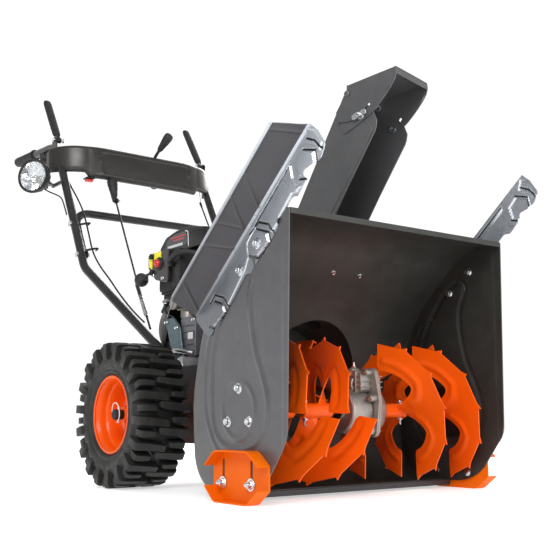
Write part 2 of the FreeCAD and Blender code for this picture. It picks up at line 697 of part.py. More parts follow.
def engine_shroud():
    # The cover over the carburettor side, open underneath.
    outline = [(496, 602), (496, 645), (577, 660), (650, 658), (704, 647), (735, 620), (735, 602)]
    radii = [4, 12, 60, 60, 24, 12, 4]
    outer = plate_x(outline, radii, -170, -30)
    inner = plate_x([(499, 590), (499, 643), (577, 657), (650, 655), (703, 644), (732, 619), (732, 590)],
                    [0, 10, 57, 57, 22, 10, 0], -167, -33)
    return outer.cut(inner)


def recoil_starter():
    bell = rod_y(0, RECOIL_Y, RECOIL_Y + 54, CRANK_Z, 112)
    hollow = rod_y(0, RECOIL_Y - 1, RECOIL_Y + 50, CRANK_Z, 108)
    drop = rod_y(0, RECOIL_Y + 54, RECOIL_Y + 70, CRANK_Z, 60)
    shell = join([bell, drop]).cut(hollow)
    return shell.cut(rod_y(70, RECOIL_Y + 40, RECOIL_Y + 80, CRANK_Z + 60, 8))


def starter_handle():
    y = RECOIL_Y + 80
    grip = rod_between((46, y, CRANK_Z + 60), (94, y, CRANK_Z + 60), 9)
    stem = rod_y(70, y - 26, y, CRANK_Z + 60, 6)
    plug = rod_y(70, y - 36, y - 25, CRANK_Z + 60, 7.4)
    return join([grip, stem, plug])


def control_box():
    # The ribbed air intake and the sloping panel for the engine controls.
    panel = plate_x([(642, 517), (690, 528), (730, 563), (730, 601), (624, 601), (624, 517)],
                    [6, 20, 10, 4, 4, 6], -206, -168)
    hollow = plate_x([(642, 521), (689, 532), (726, 565), (726, 597), (628, 597), (628, 521)],
                     [4, 16, 8, 2, 2, 4], -202, -172)
    intake = box(-168.5, -118.4, 624, 717, 500, 601)
    ribs = [box(-172, -168, 630, 714, 503 + 8 * k, 506 + 8 * k) for k in range(2)]
    socket = rod_x(-212, -205, BULB[0], BULB[1], 16)
    chokes = [rod_x(-216, -204, y, z, 8) for y, z in ((668, 591), (708, 570))]
    pin = rod_x(-213, -202, THROTTLE_PIVOT[0], THROTTLE_PIVOT[1], 3)
    shape = join([panel.cut(hollow), intake, socket, pin] + chokes + ribs)
    return shape.cut(rod_x(-213, -200, BULB[0], BULB[1], 12))


def throttle_lever():
    y, z = THROTTLE_PIVOT
    eye = rod_x(-212.4, -206.4, y, z, 7.5)
    arm = rod_between((-210.4, y + 5, z - 1), (-207, 760, 539), 3.6)
    knob = Part.makeSphere(19, vec(-205, 769, 538))
    return join([eye, arm, knob]).cut(rod_x(-215, -200, y, z, 3.06))


def primer_bulb():
    dome = Part.makeSphere(11.5, vec(-212.5, *BULB)).common(box(-240, -209, 640, 700, 540, 600))
    return join([dome, rod_x(-209, -203, BULB[0], BULB[1], 11.5)])


def muffler():
    can = plate_x([(562, 500), (676, 500), (676, 600), (562, 600)], [24] * 4, 60, 176)
    pipe_end = rod_x(176, 196, 590, 560, 12)
    outlet = rod_x(166, 200, 590, 560, 9)
    return join([can, pipe_end]).cut(outlet)


def fuel_tank():
    outline = [(-26, 548), (190, 548), (190, 700), (-26, 700)]
    tank = plate_z(outline, [26] * 4, 612, 694)
    hollow = plate_z([(-23, 551), (187, 551), (187, 697), (-23, 697)], [23] * 4, 615, 691)
    neck = rod_z(90, 624, 690, 706, 24)
    return join([tank, neck]).cut([hollow, rod_z(90, 624, 680, 720, 18)])


def fuel_cap():
    rim = rod_z(90, 624, 706.4, 724, 30)
    plug = rod_z(90, 624, 692, 707, 17.5)
    grips = [box(86, 94, 594, 654, 724, 728), box(60, 120, 620, 628, 724, 728)]
    return join([rim, plug] + [grip.common(rod_z(90, 624, 720, 730, 29)) for grip in grips])


def oil_cap():
    grip = join([rod_z(-60, 722, 478.4, 490, 16), box(-62.5, -57.5, 708, 736, 490, 496)])
    return join([grip, rod_z(-60, 722, 452, 479, 8.6)])


# ---------------------------------------------------------------- handles and controls

def handle_path(side):
    return [(side * 173.4, 703, 341), (side * HANDLE_X, 1015, 600), (side * HANDLE_X, 1251, 1022),
            (side * HANDLE_X, 1578, 1042)]


def handle_tube(side):
    points = handle_path(side)
    outer = pipe(points, HANDLE_RADII, TUBE_R)
    inner = pipe(points, HANDLE_RADII, TUBE_R - TUBE_WALL)
    tab = plate_x([(668, 322), (740, 322), (740, 368), (668, 368)], [6] * 4, side * 160, side * 163)
    ears = []
    for offset in (-12, 8):
        x0 = side * HANDLE_X + offset
        ear = [(1224, 972), (1268, 1010), (1254, 1046), (1228, 1046)]
        ears.append(plate_x(ear, [4, 4, 10, 10], x0, x0 + 4))
    holes = [rod_x(-400, 400, y, z, 4.0) for y, z in (LEVER_PIVOT, BRACE_BOLT)]
    tube = join([outer] + ears).cut([inner] + holes)
    return join([tube, tab.cut(inner)])


def cross_brace():
    # A bent tube between the handles, bolted to each by a lug at its foot.
    path = [(-BRACE_X, 1064.5, 652), (-BRACE_X, 1141.7, 790), (BRACE_X, 1141.7, 790), (BRACE_X, 1064.5, 652)]
    radii = [0, 52, 52, 0]
    bore = pipe(path, radii, BRACE_R - 2)
    pieces = [pipe(path, radii, BRACE_R)]
    for _, side in SIDES:
        lug = [(1026, 630), (1048, 630), (1076, 654), (1068, 672), (1054, 662), (1026, 650)]
        pieces.append(plate_x(lug, [8, 8, 0, 0, 0, 8], side * (BRACE_FACE_X - 3), side * BRACE_FACE_X))
    holes = [rod_x(-300, 300, BRACE_BOLT[0], BRACE_BOLT[1], 4.0)]
    return join(pieces).cut([bore] + holes)


def handle_bolts():
    pieces = []
    for _, side in SIDES:
        face = HANDLE_X + TUBE_R
        head = rod_x(side * face, side * (face + 5), BRACE_BOLT[0], BRACE_BOLT[1], 9)
        shank = rod_x(side * (BRACE_FACE_X - 6), side * (face + 1), BRACE_BOLT[0], BRACE_BOLT[1], 4)
        nut = hexagon((side * (BRACE_FACE_X - 3), *BRACE_BOLT), (-side, 0, 0), 13, 6)
        pieces.append(join([head, shank, nut]))
        pieces.append(rod_x(side * face, side * (face + 5), CLAMP_BOLT[0], CLAMP_BOLT[1], 9))
        x = side * HANDLE_X
        pin = rod_x(x - 14, x + 14, LEVER_PIVOT[0], LEVER_PIVOT[1], 4.0)
        heads = [rod_x(x + dx, x + dx + 3, LEVER_PIVOT[0], LEVER_PIVOT[1], 7) for dx in (-17, 14)]
        pieces.append(join([pin] + heads))
    return group(pieces)


def handle_grips():
    pieces = []
    for _, side in SIDES:
        end = vec(side * HANDLE_X, 1578, 1042)
        axis = vec(0, 327, 20).normalize()
        start = end - axis * 150
        sleeve = Part.makeCylinder(16, 153, start, axis)
        collar = Part.makeCylinder(18, 6, start, axis)
        tube = Part.makeCylinder(TUBE_R, 150, start, axis)
        pieces.append(join([sleeve, collar]).cut(tube))
    return group(pieces)


def dash_panel():
    # A moulded shell: deep across the middle, stepping up at its two ends.
    back = [(228, 1268), (160, 1226), (-160, 1226), (-228, 1268)]
    plan = PANEL_PLAN + back
    radii = [8, 40, 60, 60, 60, 60, 40, 8, 8, 30, 30, 8]
    outer = plate_z(plan, radii, 908, 1012)
    inner_plan = [(-288, 1264), (-282, 1224), (-194, 1153), (-139, 1140.5), (139, 1140.5), (194, 1153),
                  (282, 1224), (288, 1264), (230, 1264), (161, 1222), (-161, 1222), (-230, 1264)]
    inner = plate_z(inner_plan, [5, 37, 57, 57, 57, 57, 37, 5, 5, 27, 27, 5], 900, 1008.5)
    steps = [sided_box(side, 196, 310, 1100, 1300, 900, 925) for _, side in SIDES]
    tubes = [pipe(handle_path(side), HANDLE_RADII, TUBE_R + 0.8) for _, side in SIDES]
    levers = [sided_box(side, 244, 276, 1196, 1290, 980, 1020) for _, side in SIDES]
    slot = box(22, 60, 1142, 1216, 1000, 1020)
    return outer.cut([inner] + steps + tubes + levers + [slot])


def clutch_lever(side):
    # A padded flat bar standing up from its pivot; pressed, it lies on the grip.
    x = side * HANDLE_X
    y, z = LEVER_PIVOT
    bar = join([box(x - 7, x + 7, y, y + 40, z - 6, z + 4), rod_x(x - 7, x + 7, y, z, 9)])
    pad = box(x - 13, x + 13, y + 24, y + 193, z - 8, z + 7)
    pad = pad.makeFillet(5, pad.Edges)
    lever = join([bar, pad]).cut(rod_x(x - 30, x + 30, y, z, 4.06))
    lever.rotate(vec(0, y, z), vec(1, 0, 0), 56)
    return lever


def gear_lever():
    # A rock shaft under the panel with the hand lever up and the rod arm down.
    y, z = GEAR_AXIS
    shaft = rod_x(-126, 52, y, z, 6)
    lower_stem = rod_between((41, y, z), (41, 1168, 1012), 5)
    upper_stem = rod_between((41, 1168, 1012), (50, 1138, 1044), 5)
    knob_axis = vec(16, -38, 44).normalize()
    knob_base = vec(48, 1144, 1038)
    knob = Part.makeCone(10, 15, 46, knob_base, knob_axis)
    cap = Part.makeSphere(15, knob_base + knob_axis * 46)
    arm_outline = [(y + 8, z + 8), (y - 8, z + 8), (y - 8, z - 16), (ROD_PIN[0] - 10, ROD_PIN[1] + 2),
                   (ROD_PIN[0] + 2, ROD_PIN[1] - 10), (y + 8, z - 22)]
    arm = plate_x(arm_outline, [7, 7, 8, 8, 8, 8], ROD_X - 10, ROD_X - 4)
    pin = rod_x(ROD_X - 10, ROD_X + 8, ROD_PIN[0], ROD_PIN[1], 3)
    return join([shaft, lower_stem, upper_stem, knob, cap, arm, pin])


def shift_rod():
    eye = rod_x(ROD_X - 3.4, ROD_X + 3.4, ROD_PIN[0], ROD_PIN[1], 9)
    points = [(ROD_X, ROD_PIN[0], ROD_PIN[1] - 4), (-160, 905, 592), (-186, 800, 488), (-190, 742, 404)]
    rod_shape = pipe(points, [0, 200, 300, 0], 3)
    adjuster = rod_between((-176, 850, 537), (-186, 801, 489), 6)
    return join([eye, rod_shape, adjuster]).cut(rod_x(ROD_X - 20, ROD_X + 20, ROD_PIN[0], ROD_PIN[1], 3.06))


def lamp_switch():
    # A rocker hanging under the front edge of the panel.
    return join([box(-196, -176, 1155, 1178, 899, 904), rod_x(-196, -176, 1166, 904, 6)])


def lamp_bracket():
    arm = join([box(-300, -273.5, 1216, 1240, 884, 888), box(-300, -297, 1216, 1240, 870, 900)])
    strap = box(-276, -270, 1170, 1240, 880, 890).cut(
        rod_between((-HANDLE_X, 1150, 841), (-HANDLE_X, 1200, 930), TUBE_R + 0.3))
    bolt = rod_x(-312, -300, 1228, 893, 4)
    return join([arm, strap]).cut(rod_x(-320, -290, 1228, 893, 4)), bolt


def headlight():
    centre = vec(*LAMP_CENTRE)
    axis = vec(*LAMP_AXIS).normalize()
    bowl = Part.makeCone(24, 50, 42, centre - axis * 40, axis)
    bezel = Part.makeCylinder(52, 12, centre, axis)
    lens = Part.makeCylinder(46, 14, centre, axis)
    hollow = Part.makeCone(20, 46, 38, centre - axis * 38, axis)
    body = join([bowl, bezel]).cut([hollow, lens])
    stem = rod_between(tuple(centre - axis * 38), (-316, 1228, 893), 8)
    knuckle = rod_x(-322, -313, 1228, 893, 11)
    behind = box(-313, -290, 1200, 1260, 870, 915)
    shell = join([body, stem.cut(hollow), knuckle]).cut(behind)
    pane = lens.common(Part.makeCylinder(46, 11, centre, axis))
    return group([shell, pane])


def cables():
    runs = [cord("lamp_cable", LAMP_CABLE, 2.2)]
    for name, side in SIDES:
        points = [(side * abs(x), y, z) for x, y, z in RIGHT_CABLE]
        runs.append(cord("cable_" + name, points, 2.6))
    return group(runs)


# ---------------------------------------------------------------- chute

def chute_point(u, f, z):
    cos, sin = math.cos(CHUTE_TURN), math.sin(CHUTE_TURN)
    return vec(u * cos + f * sin, CHUTE_Y + u * sin - f * cos, z)


def chute_prism(outline, u0, u1):
    points = [chute_point(u0, f, z) for f, z in outline]
    face = Part.Face(Part.makePolygon(points + points[:1]))
    return face.extrude(chute_point(u1, 0, 0) - chute_point(u0, 0, 0))


def lean_f(z, front):
    return (176 if front else 60) + CHUTE_LEAN * (z - 641)


def discharge_chute():
    # An open channel leaning forward on a round foot.
    low = 500
    side_outline = [(lean_f(low, False), low), (lean_f(low, True), low), (288, 820), (293, 836), (284, 858),
                    (262, 884), (224, 924), (212, 930), (204, 918)]
    rear = [(lean_f(low, False), low), (lean_f(low, False) + 3, low), (207, 918), (204, 918)]
    walls = [chute_prism(side_outline, u, u + CHUTE_SHEET) for u in (-CHUTE_HALF, CHUTE_HALF - CHUTE_SHEET)]
    back = chute_prism(rear, -CHUTE_HALF, CHUTE_HALF)
    flange = rod_z(0, CHUTE_Y, CHUTE_BASE_Z, CHUTE_BASE_Z + 4, 84)
    foot = rod_z(0, CHUTE_Y, CHUTE_BASE_Z, CHUTE_BASE_Z + 66, 70)
    foot_hollow = rod_z(0, CHUTE_Y, CHUTE_BASE_Z - 1, CHUTE_BASE_Z + 80, 67.4)
    front_notch = chute_prism([(0, 470), (120, 470), (120, 560), (0, 560)], -66, 66)
    foot_z = 460
    leg_outline = [(lean_f(foot_z, False), foot_z), (lean_f(foot_z, True), foot_z),
                   (lean_f(low, True), low), (lean_f(low, False), low)]
    legs = [chute_prism(leg_outline, u, u + CHUTE_SHEET) for u in (-CHUTE_HALF, CHUTE_HALF - CHUTE_SHEET)]
    skirt = foot.cut(front_notch)
    shape = join([flange, skirt] + walls + [back] + legs)
    bolts = chute_prism([(HOOD_BOLT[0] - 4, HOOD_BOLT[1] - 4), (HOOD_BOLT[0] + 4, HOOD_BOLT[1] - 4),
                         (HOOD_BOLT[0] + 4, HOOD_BOLT[1] + 4), (HOOD_BOLT[0] - 4, HOOD_BOLT[1] + 4)], -80, 80)
    pin_end = chute_point(-80, *HOOD_PIVOT)
    pins = Part.makeCylinder(4, 160, pin_end, chute_point(80, *HOOD_PIVOT) - pin_end)
    return shape.cut([foot_hollow, bolts, pins])


def hood_bolts():
    # Carriage bolts in the curved slots and the two hinge rivets, held by the chute.
    pieces = []
    axis = chute_point(1, 0, 0) - chute_point(0, 0, 0)
    for side in (-1, 1):
        square = chute_prism([(HOOD_BOLT[0] - 4, HOOD_BOLT[1] - 4), (HOOD_BOLT[0] + 4, HOOD_BOLT[1] - 4),
                              (HOOD_BOLT[0] + 4, HOOD_BOLT[1] + 4), (HOOD_BOLT[0] - 4, HOOD_BOLT[1] + 4)],
                             side * (CHUTE_HALF - CHUTE_SHEET), side * CHUTE_HALF)
        inside = side * (CHUTE_HALF - CHUTE_SHEET)
        head = Part.makeCylinder(9, 3, chute_point(inside, *HOOD_BOLT), axis * -side)
        reach = 22 if side < 0 else 12
        shank = Part.makeCylinder(3, reach, chute_point(side * CHUTE_HALF, *HOOD_BOLT), axis * side)
        pieces.append(join([square, head, shank]))
        rivet = Part.makeCylinder(4, CHUTE_SHEET + 5, chute_point(inside, *HOOD_PIVOT), axis * side)
        heads = [Part.makeCylinder(7, 2, chute_point(inside, *HOOD_PIVOT), axis * -side),
                 Part.makeCylinder(7, 2, chute_point(side * (CHUTE_HALF + 4.2), *HOOD_PIVOT), axis * side)]
        pieces.append(join([rivet] + heads))
    far = chute_point(CHUTE_HALF + 3.4, *HOOD_BOLT)
    nut = Part.makeCylinder(8, 6, far, axis).cut(Part.makeCylinder(3, 6, far, axis))
    pieces.append(nut)
    return group(pieces)


def deflector_hood():
    gap = 0.5
    inner = CHUTE_HALF + gap
    outline = [(348, 951), (213, 922), (181, 876), (187, 846),
               (204, 821), (281, 857), (314, 886), (349, 935)]
    walls = []
    for side in (-1, 1):
        walls.append(chute_prism(outline, side * inner, side * (inner + 2.5)))
    roof_outline = [(348, 951), (349, 935), (346.5, 935), (345.5, 948), (214, 933.6), (213, 936)]
    roof = chute_prism(roof_outline, -inner - 2.5, inner + 2.5)
    cap_outline = [(348, 951), (213, 936), (213, 922), (300, 930)]
    side_caps = [chute_prism(cap_outline, side * inner, side * (inner + 2.5)) for side in (-1, 1)]
    shape = join(walls + side_caps + [roof])
    slots = []
    axis = chute_point(1, 0, 0) - chute_point(0, 0, 0)
    reach = math.hypot(HOOD_BOLT[0] - HOOD_PIVOT[0], HOOD_BOLT[1] - HOOD_PIVOT[1])
    start = math.degrees(math.atan2(HOOD_BOLT[1] - HOOD_PIVOT[1], HOOD_BOLT[0] - HOOD_PIVOT[0]))
    arc = []
    for radius, angles in ((reach + 3.6, range(-50, 26, 5)), (reach - 3.6, range(25, -51, -5))):
        for step in angles:
            angle = math.radians(start + step)
            arc.append((HOOD_PIVOT[0] + radius * math.cos(angle), HOOD_PIVOT[1] + radius * math.sin(angle)))
    slots.append(chute_prism(arc, -80, 80))
    slots.append(Part.makeCylinder(4.06, 160, chute_point(-80, *HOOD_PIVOT), axis))
    for step in (-50, 25):
        angle = math.radians(start + step)
        end = (HOOD_PIVOT[0] + reach * math.cos(angle), HOOD_PIVOT[1] + reach * math.sin(angle))
        slots.append(Part.makeCylinder(3.6, 160, chute_point(-80, *end), axis))
    return shape.cut(slots)


def hood_knob():
    axis = chute_point(-1, 0, 0) - chute_point(0, 0, 0)
    base = chute_point(-CHUTE_HALF - 3.4, *HOOD_BOLT)
    washer = Part.makeCylinder(9, 1.6, base, axis)
    boss = Part.makeCylinder(6.5, 10, base, axis)
    wing = chute_prism([(HOOD_BOLT[0] - 20, HOOD_BOLT[1] + 6), (HOOD_BOLT[0] - 17, HOOD_BOLT[1] - 4),
                        (HOOD_BOLT[0] + 17, HOOD_BOLT[1] - 6), (HOOD_BOLT[0] + 20, HOOD_BOLT[1] + 4)],
                       -CHUTE_HALF - 6, -CHUTE_HALF - 15)
    return join([washer, boss, wing]).cut(Part.makeCylinder(3.06, 30, base - axis * 2, axis))


# ---------------------------------------------------------------- assembly

def main():
    os.makedirs("parts", exist_ok=True)
    save("auger_housing", auger_housing())
    save("impeller_housing", impeller_housing())
    save("chute_ring", chute_ring())
    save("scraper_bar", scraper_bar())
    for name, side in SIDES:
        save("side_plate_" + name, side_plate(side))
        save("drift_cutter_" + name, drift_cutter(side))
        save("skid_shoe_" + name, skid_shoe(side))
        save("tyre_" + name, tyre(side))
        save("handle_tube_" + name, handle_tube(side))
        save("clutch_lever_" + name, clutch_lever(side))
    save("auger_right", auger_side(-1.0, RIGHT_BLADES))
    save("auger_left", auger_side(1.0, LEFT_BLADES))
    save("housing_bolts", housing_bolts())
    save("shaft_bearings", shaft_bearings())
    save("skid_nuts", skid_nuts())
    save("gearbox_case", gearbox_case())
    save("gearbox_bolts", gearbox_bolts())
    save("auger_shaft", auger_shaft())
    save("worm_wheel", worm_wheel())
    save("shear_bolts", shear_bolts())
    save("impeller", impeller())
    save("impeller_shaft", impeller_shaft())
    save("impeller_pulley", impeller_pulley())
    save("drive_belt", drive_belt())
    save("belt_cover", belt_cover())
    save("transmission_case", transmission_case())
    save("wheel_axle", wheel_axle())
    save("wheel_rims", group([revolve_x(rim_profile(side), AXLE_Y, AXLE_Z) for _, side in SIDES]))
    save("hub_pins", hub_pins())
    save("engine_block", engine_block())
    save("engine_shroud", engine_shroud())
    save("recoil_starter", recoil_starter())
    save("starter_handle", starter_handle())
    save("control_box", control_box())
    save("primer_bulb", primer_bulb())
    save("throttle_lever", throttle_lever())
    save("muffler", muffler())
    save("fuel_tank", fuel_tank())
    save("fuel_cap", fuel_cap())
    save("oil_cap", oil_cap())
    save("cross_brace", cross_brace())
    save("handle_bolts", handle_bolts())
    save("handle_grips", handle_grips())
    save("dash_panel", dash_panel())
    save("gear_lever", gear_lever())
    save("shift_rod", shift_rod())
    save("lamp_switch", lamp_switch())
    bracket, bolt = lamp_bracket()
    save("lamp_bracket", group([bracket, bolt]))
    save("headlight", headlight())
    save("cables", cables())
    save("discharge_chute", discharge_chute())
    save("hood_bolts", hood_bolts())
    save("deflector_hood", deflector_hood())
    save("hood_knob", hood_knob())


main()
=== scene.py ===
import json
import math

import bmesh
import bpy
import numpy as np
from mathutils import Matrix, Vector
from mathutils.geometry import delaunay_2d_cdt

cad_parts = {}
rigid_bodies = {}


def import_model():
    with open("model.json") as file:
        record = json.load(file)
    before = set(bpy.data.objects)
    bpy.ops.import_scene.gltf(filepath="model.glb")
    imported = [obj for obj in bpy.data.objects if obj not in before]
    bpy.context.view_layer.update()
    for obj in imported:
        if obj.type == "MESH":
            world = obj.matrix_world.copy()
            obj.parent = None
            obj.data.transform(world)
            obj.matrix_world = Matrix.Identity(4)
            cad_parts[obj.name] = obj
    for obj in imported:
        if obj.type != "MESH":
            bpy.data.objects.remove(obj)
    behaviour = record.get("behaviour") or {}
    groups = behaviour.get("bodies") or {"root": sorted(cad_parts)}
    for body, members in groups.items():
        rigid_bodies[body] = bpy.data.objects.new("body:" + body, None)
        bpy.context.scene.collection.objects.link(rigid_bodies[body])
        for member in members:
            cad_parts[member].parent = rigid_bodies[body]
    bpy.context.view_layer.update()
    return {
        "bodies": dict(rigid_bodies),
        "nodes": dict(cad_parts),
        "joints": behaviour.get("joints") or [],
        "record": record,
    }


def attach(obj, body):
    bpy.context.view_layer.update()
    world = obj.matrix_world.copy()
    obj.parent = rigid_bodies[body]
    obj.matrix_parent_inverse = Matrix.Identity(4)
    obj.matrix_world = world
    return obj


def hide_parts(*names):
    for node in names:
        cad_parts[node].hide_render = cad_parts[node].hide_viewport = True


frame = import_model()
NODES = frame["nodes"]
OY = 708.5


# ------------------------------------------------------------ mesh helpers
# Positions are given in millimetres with y counted from the lip datum of the
# auger housing, and put() turns them into the metres of the shared frame.

def put(points):
    a = np.asarray(points, float).reshape(-1, 3) * 0.001
    a[:, 1] -= OY * 0.001
    return a


def link(obj):
    bpy.context.scene.collection.objects.link(obj)
    return obj


def piece(name, verts, faces, mat, body, replaces=(), slot=None, smooth=35, bevel=0.0, segments=2, subdiv=0,
          ids=None):
    mesh = bpy.data.meshes.new(name)
    mesh.from_pydata([tuple(p) for p in put(verts)], [], [tuple(int(i) for i in f) for f in faces])
    obj = link(bpy.data.objects.new(name, mesh))
    for m in (mat if isinstance(mat, (list, tuple)) else [mat]):
        mesh.materials.append(m)
    if ids is not None:
        mesh.polygons.foreach_set("material_index", [int(i) for i in ids])
    mesh.validate()
    finish_piece(obj, body, replaces, smooth, bevel, segments, subdiv)
    return obj


def finish_piece(obj, body, replaces=(), smooth=35, bevel=0.0, segments=2, subdiv=0):
    mesh = obj.data
    bm = bmesh.new()
    bm.from_mesh(mesh)
    bmesh.ops.remove_doubles(bm, verts=bm.verts, dist=1e-7)
    bmesh.ops.recalc_face_normals(bm, faces=bm.faces)
    bm.to_mesh(mesh)
    bm.free()
    if smooth:
        for p in mesh.polygons:
            p.use_smooth = True
        mesh.set_sharp_from_angle(angle=math.radians(smooth))
    if bevel:
        b = obj.modifiers.new("edge", "BEVEL")
        b.width = bevel
        b.segments = segments
        b.limit_method = "ANGLE"
        b.angle_limit = math.radians(40)
        b.harden_normals = False
    if subdiv:
        s = obj.modifiers.new("sub", "SUBSURF")
        s.levels = subdiv
        s.render_levels = subdiv
    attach(obj, body)
    if replaces:
        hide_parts(*replaces)


def merge(parts):
    """Several (verts, faces) as one."""
    verts, faces, base = [], [], 0
    for v, f in parts:
        v = np.asarray(v, float).reshape(-1, 3)
        verts.append(v)
        faces += [tuple(int(i) + base for i in face) for face in f]
        base += len(v)
    return np.vstack(verts), faces


def basis(axis):
    axis = np.asarray(axis, float)
    axis = axis / np.linalg.norm(axis)
    ref = np.array([0, 0, 1.0]) if abs(axis[2]) < 0.9 else np.array([0, 1.0, 0])
    a = np.cross(ref, axis)
    a /= np.linalg.norm(a)
    return a, np.cross(axis, a), axis


def lathe(profile, origin, axis, n=48, closed=False):
    """Turned body: profile is (distance along axis, radius)."""
    a, b, c = basis(axis)
    o = np.asarray(origin, float)
    verts, faces = [], []
    m = len(profile)
    for k in range(n):
        t = 2 * math.pi * k / n
        d = a * math.cos(t) + b * math.sin(t)
        for s, r in profile:
            verts.append(o + c * s + d * r)
    for k in range(n):
        k2 = (k + 1) % n
        for i in range(m - 1 + (1 if closed else 0)):
            i2 = (i + 1) % m
            faces.append((k * m + i, k2 * m + i, k2 * m + i2, k * m + i2))
    return np.array(verts), faces


def prism(outline, origin, u, v, w, depth):
    """Straight block: outline in (u, v), depth along w, both ends closed."""
    o, u, v, w = (np.asarray(x, float) for x in (origin, u, v, w))
    n = len(outline)
    verts = [o + u * p + v * q for p, q in outline] + [o + u * p + v * q + w * depth for p, q in outline]
    faces = [tuple(range(n)), tuple(range(2 * n - 1, n - 1, -1))]
    faces += [(k, (k + 1) % n, n + (k + 1) % n, n + k) for k in range(n)]
    return np.array(verts), faces


def catmull(points, per=8, closed=False):
    p = np.asarray(points, float)
    out = []
    n = len(p)
    for i in range(n if closed else n - 1):
        p0 = p[(i - 1) % n] if closed or i > 0 else 2 * p[0] - p[1]
        p1, p2 = p[i], p[(i + 1) % n]
        p3 = p[(i + 2) % n] if closed or i + 2 < n else 2 * p[-1] - p[-2]
        for k in range(per):
            t = k / per
            out.append(0.5 * (2 * p1 + (p2 - p0) * t + (2 * p0 - 5 * p1 + 4 * p2 - p3) * t * t
                              + (3 * p1 - p0 - 3 * p2 + p3) * t ** 3))
    if not closed:
        out.append(p[-1])
    return np.array(out)


def sweep(path, radius, n=12, caps=True):
    """A round tube along points, radius a number or one for each point."""
    path = np.asarray(path, float)
    m = len(path)
    radii = np.full(m, radius, float) if np.isscalar(radius) else np.asarray(radius, float)
    tangents = np.gradient(path, axis=0)
    tangents /= np.linalg.norm(tangents, axis=1)[:, None]
    a = basis(tangents[0])[0]
    verts, faces = [], []
    for i in range(m):
        t = tangents[i]
        a = a - t * (a @ t)
        a /= np.linalg.norm(a)
        b = np.cross(t, a)
        for k in range(n):
            ang = 2 * math.pi * k / n
            verts.append(path[i] + radii[i] * (a * math.cos(ang) + b * math.sin(ang)))
    for i in range(m - 1):
        for k in range(n):
            k2 = (k + 1) % n
            faces.append((i * n + k, i * n + k2, (i + 1) * n + k2, (i + 1) * n + k))
    if caps:
        faces += [tuple(range(n - 1, -1, -1)), tuple(range((m - 1) * n, m * n))]
    return np.array(verts), faces


def hexagon_bolt(base, axis, flange_r, across, height, chamfer=1.2, dimple=True, turn=0.0):
    """Washer-faced hexagon head with a chamfered crown and a shallow dish in it."""
    a, b, c = basis(axis)
    base = np.asarray(base, float)
    parts = []
    if flange_r:
        parts.append(lathe([(0, 0.01), (0, flange_r), (0.7, flange_r), (1.9, flange_r * 0.86), (2.2, 0.01)],
                           base, axis, 32))
        base = base + c * 1.6
    r = across / math.sqrt(3)
    verts, faces = [], []
    n = 36
    for level, (s, top) in enumerate(((0, False), (height - chamfer, False), (height, True))):
        for k in range(n):
            t = 2 * math.pi * k / n + turn
            cell = (t - turn) % (math.pi / 3) - math.pi / 6
            flat = (across / 2) / math.cos(cell)
            rr = flat if not top else min(flat, across / 2) * 0.97
            ss = s if level != 1 else s + chamfer * 0.55 * (1 - (flat - across / 2) / (r - across / 2))
            d = a * math.cos(t) + b * math.sin(t)
            verts.append(base + c * ss + d * rr)
    inner = [(height, across * 0.30), (height - 0.8, across * 0.24),
             (height - 0.9, 0.01)] if dimple else [(height + 0.2, across * 0.2), (height + 0.3, 0.01)]
    for s, rr in inner:
        for k in range(n):
            t = 2 * math.pi * k / n + turn
            verts.append(base + c * s + (a * math.cos(t) + b * math.sin(t)) * rr)
    for level in range(2 + len(inner)):
        for k in range(n):
            k2 = (k + 1) % n
            faces.append((level * n + k, level * n + k2, (level + 1) * n + k2, (level + 1) * n + k))
    parts.append((np.array(verts), faces))
    return merge(parts)


def threaded_stud(base, axis, radius, length, pitch=1.2):
    profile = [(0, radius * 0.8)]
    s = 0.0
    while s < length - pitch:
        profile += [(s + pitch * 0.25, radius), (s + pitch * 0.75, radius * 0.84)]
        s += pitch
    profile += [(length - 0.4, radius * 0.8), (length, radius * 0.55), (length, 0.01)]
    return lathe(profile, base, axis, 20)


def washer(base, axis, r_in, r_out, t):
    return lathe([(0, r_in), (0, r_out - 0.3), (0.3, r_out), (t - 0.3, r_out), (t, r_out - 0.3), (t, r_in)],
                 base, axis, 32)


def round_poly(points, radii, arc_step=12.0):
    """Closed outline with rounded corners, as a dense list of points."""
    out = []
    n = len(points)
    p = [np.array(q, float) for q in points]
    for i in range(n):
        r = radii[i] if hasattr(radii, "__len__") else radii
        prev, here, after = p[i - 1], p[i], p[(i + 1) % n]
        a, b = prev - here, after - here
        la, lb = np.linalg.norm(a), np.linalg.norm(b)
        a, b = a / la, b / lb
        cosang = float(np.clip(a @ b, -1, 1))
        turn = math.pi - math.acos(cosang)
        if r <= 0 or turn < 0.02:
            out.append(tuple(here))
            continue
        reach = min(r * math.tan(turn / 2), la * 0.499, lb * 0.499)
        r = reach / math.tan(turn / 2)
        bis = (a + b) / np.linalg.norm(a + b)
        centre = here + bis * (r / math.cos(turn / 2))
        start, end = here + a * reach, here + b * reach
        a0 = math.atan2(*(start - centre)[::-1])
        a1 = math.atan2(*(end - centre)[::-1])
        d = (a1 - a0 + math.pi) % (2 * math.pi) - math.pi
        k = max(2, int(abs(math.degrees(d)) / arc_step))
        out += [tuple(centre + r * np.array([math.cos(a0 + d * j / k), math.sin(a0 + d * j / k)]))
                for j in range(k + 1)]
    return out


def densify(loop, step):
    out = []
    n = len(loop)
    for i in range(n):
        a, b = np.array(loop[i], float), np.array(loop[(i + 1) % n], float)
        k = max(1, int(math.ceil(np.linalg.norm(b - a) / step)))
        out += [tuple(a + (b - a) * j / k) for j in range(k)]
    return out


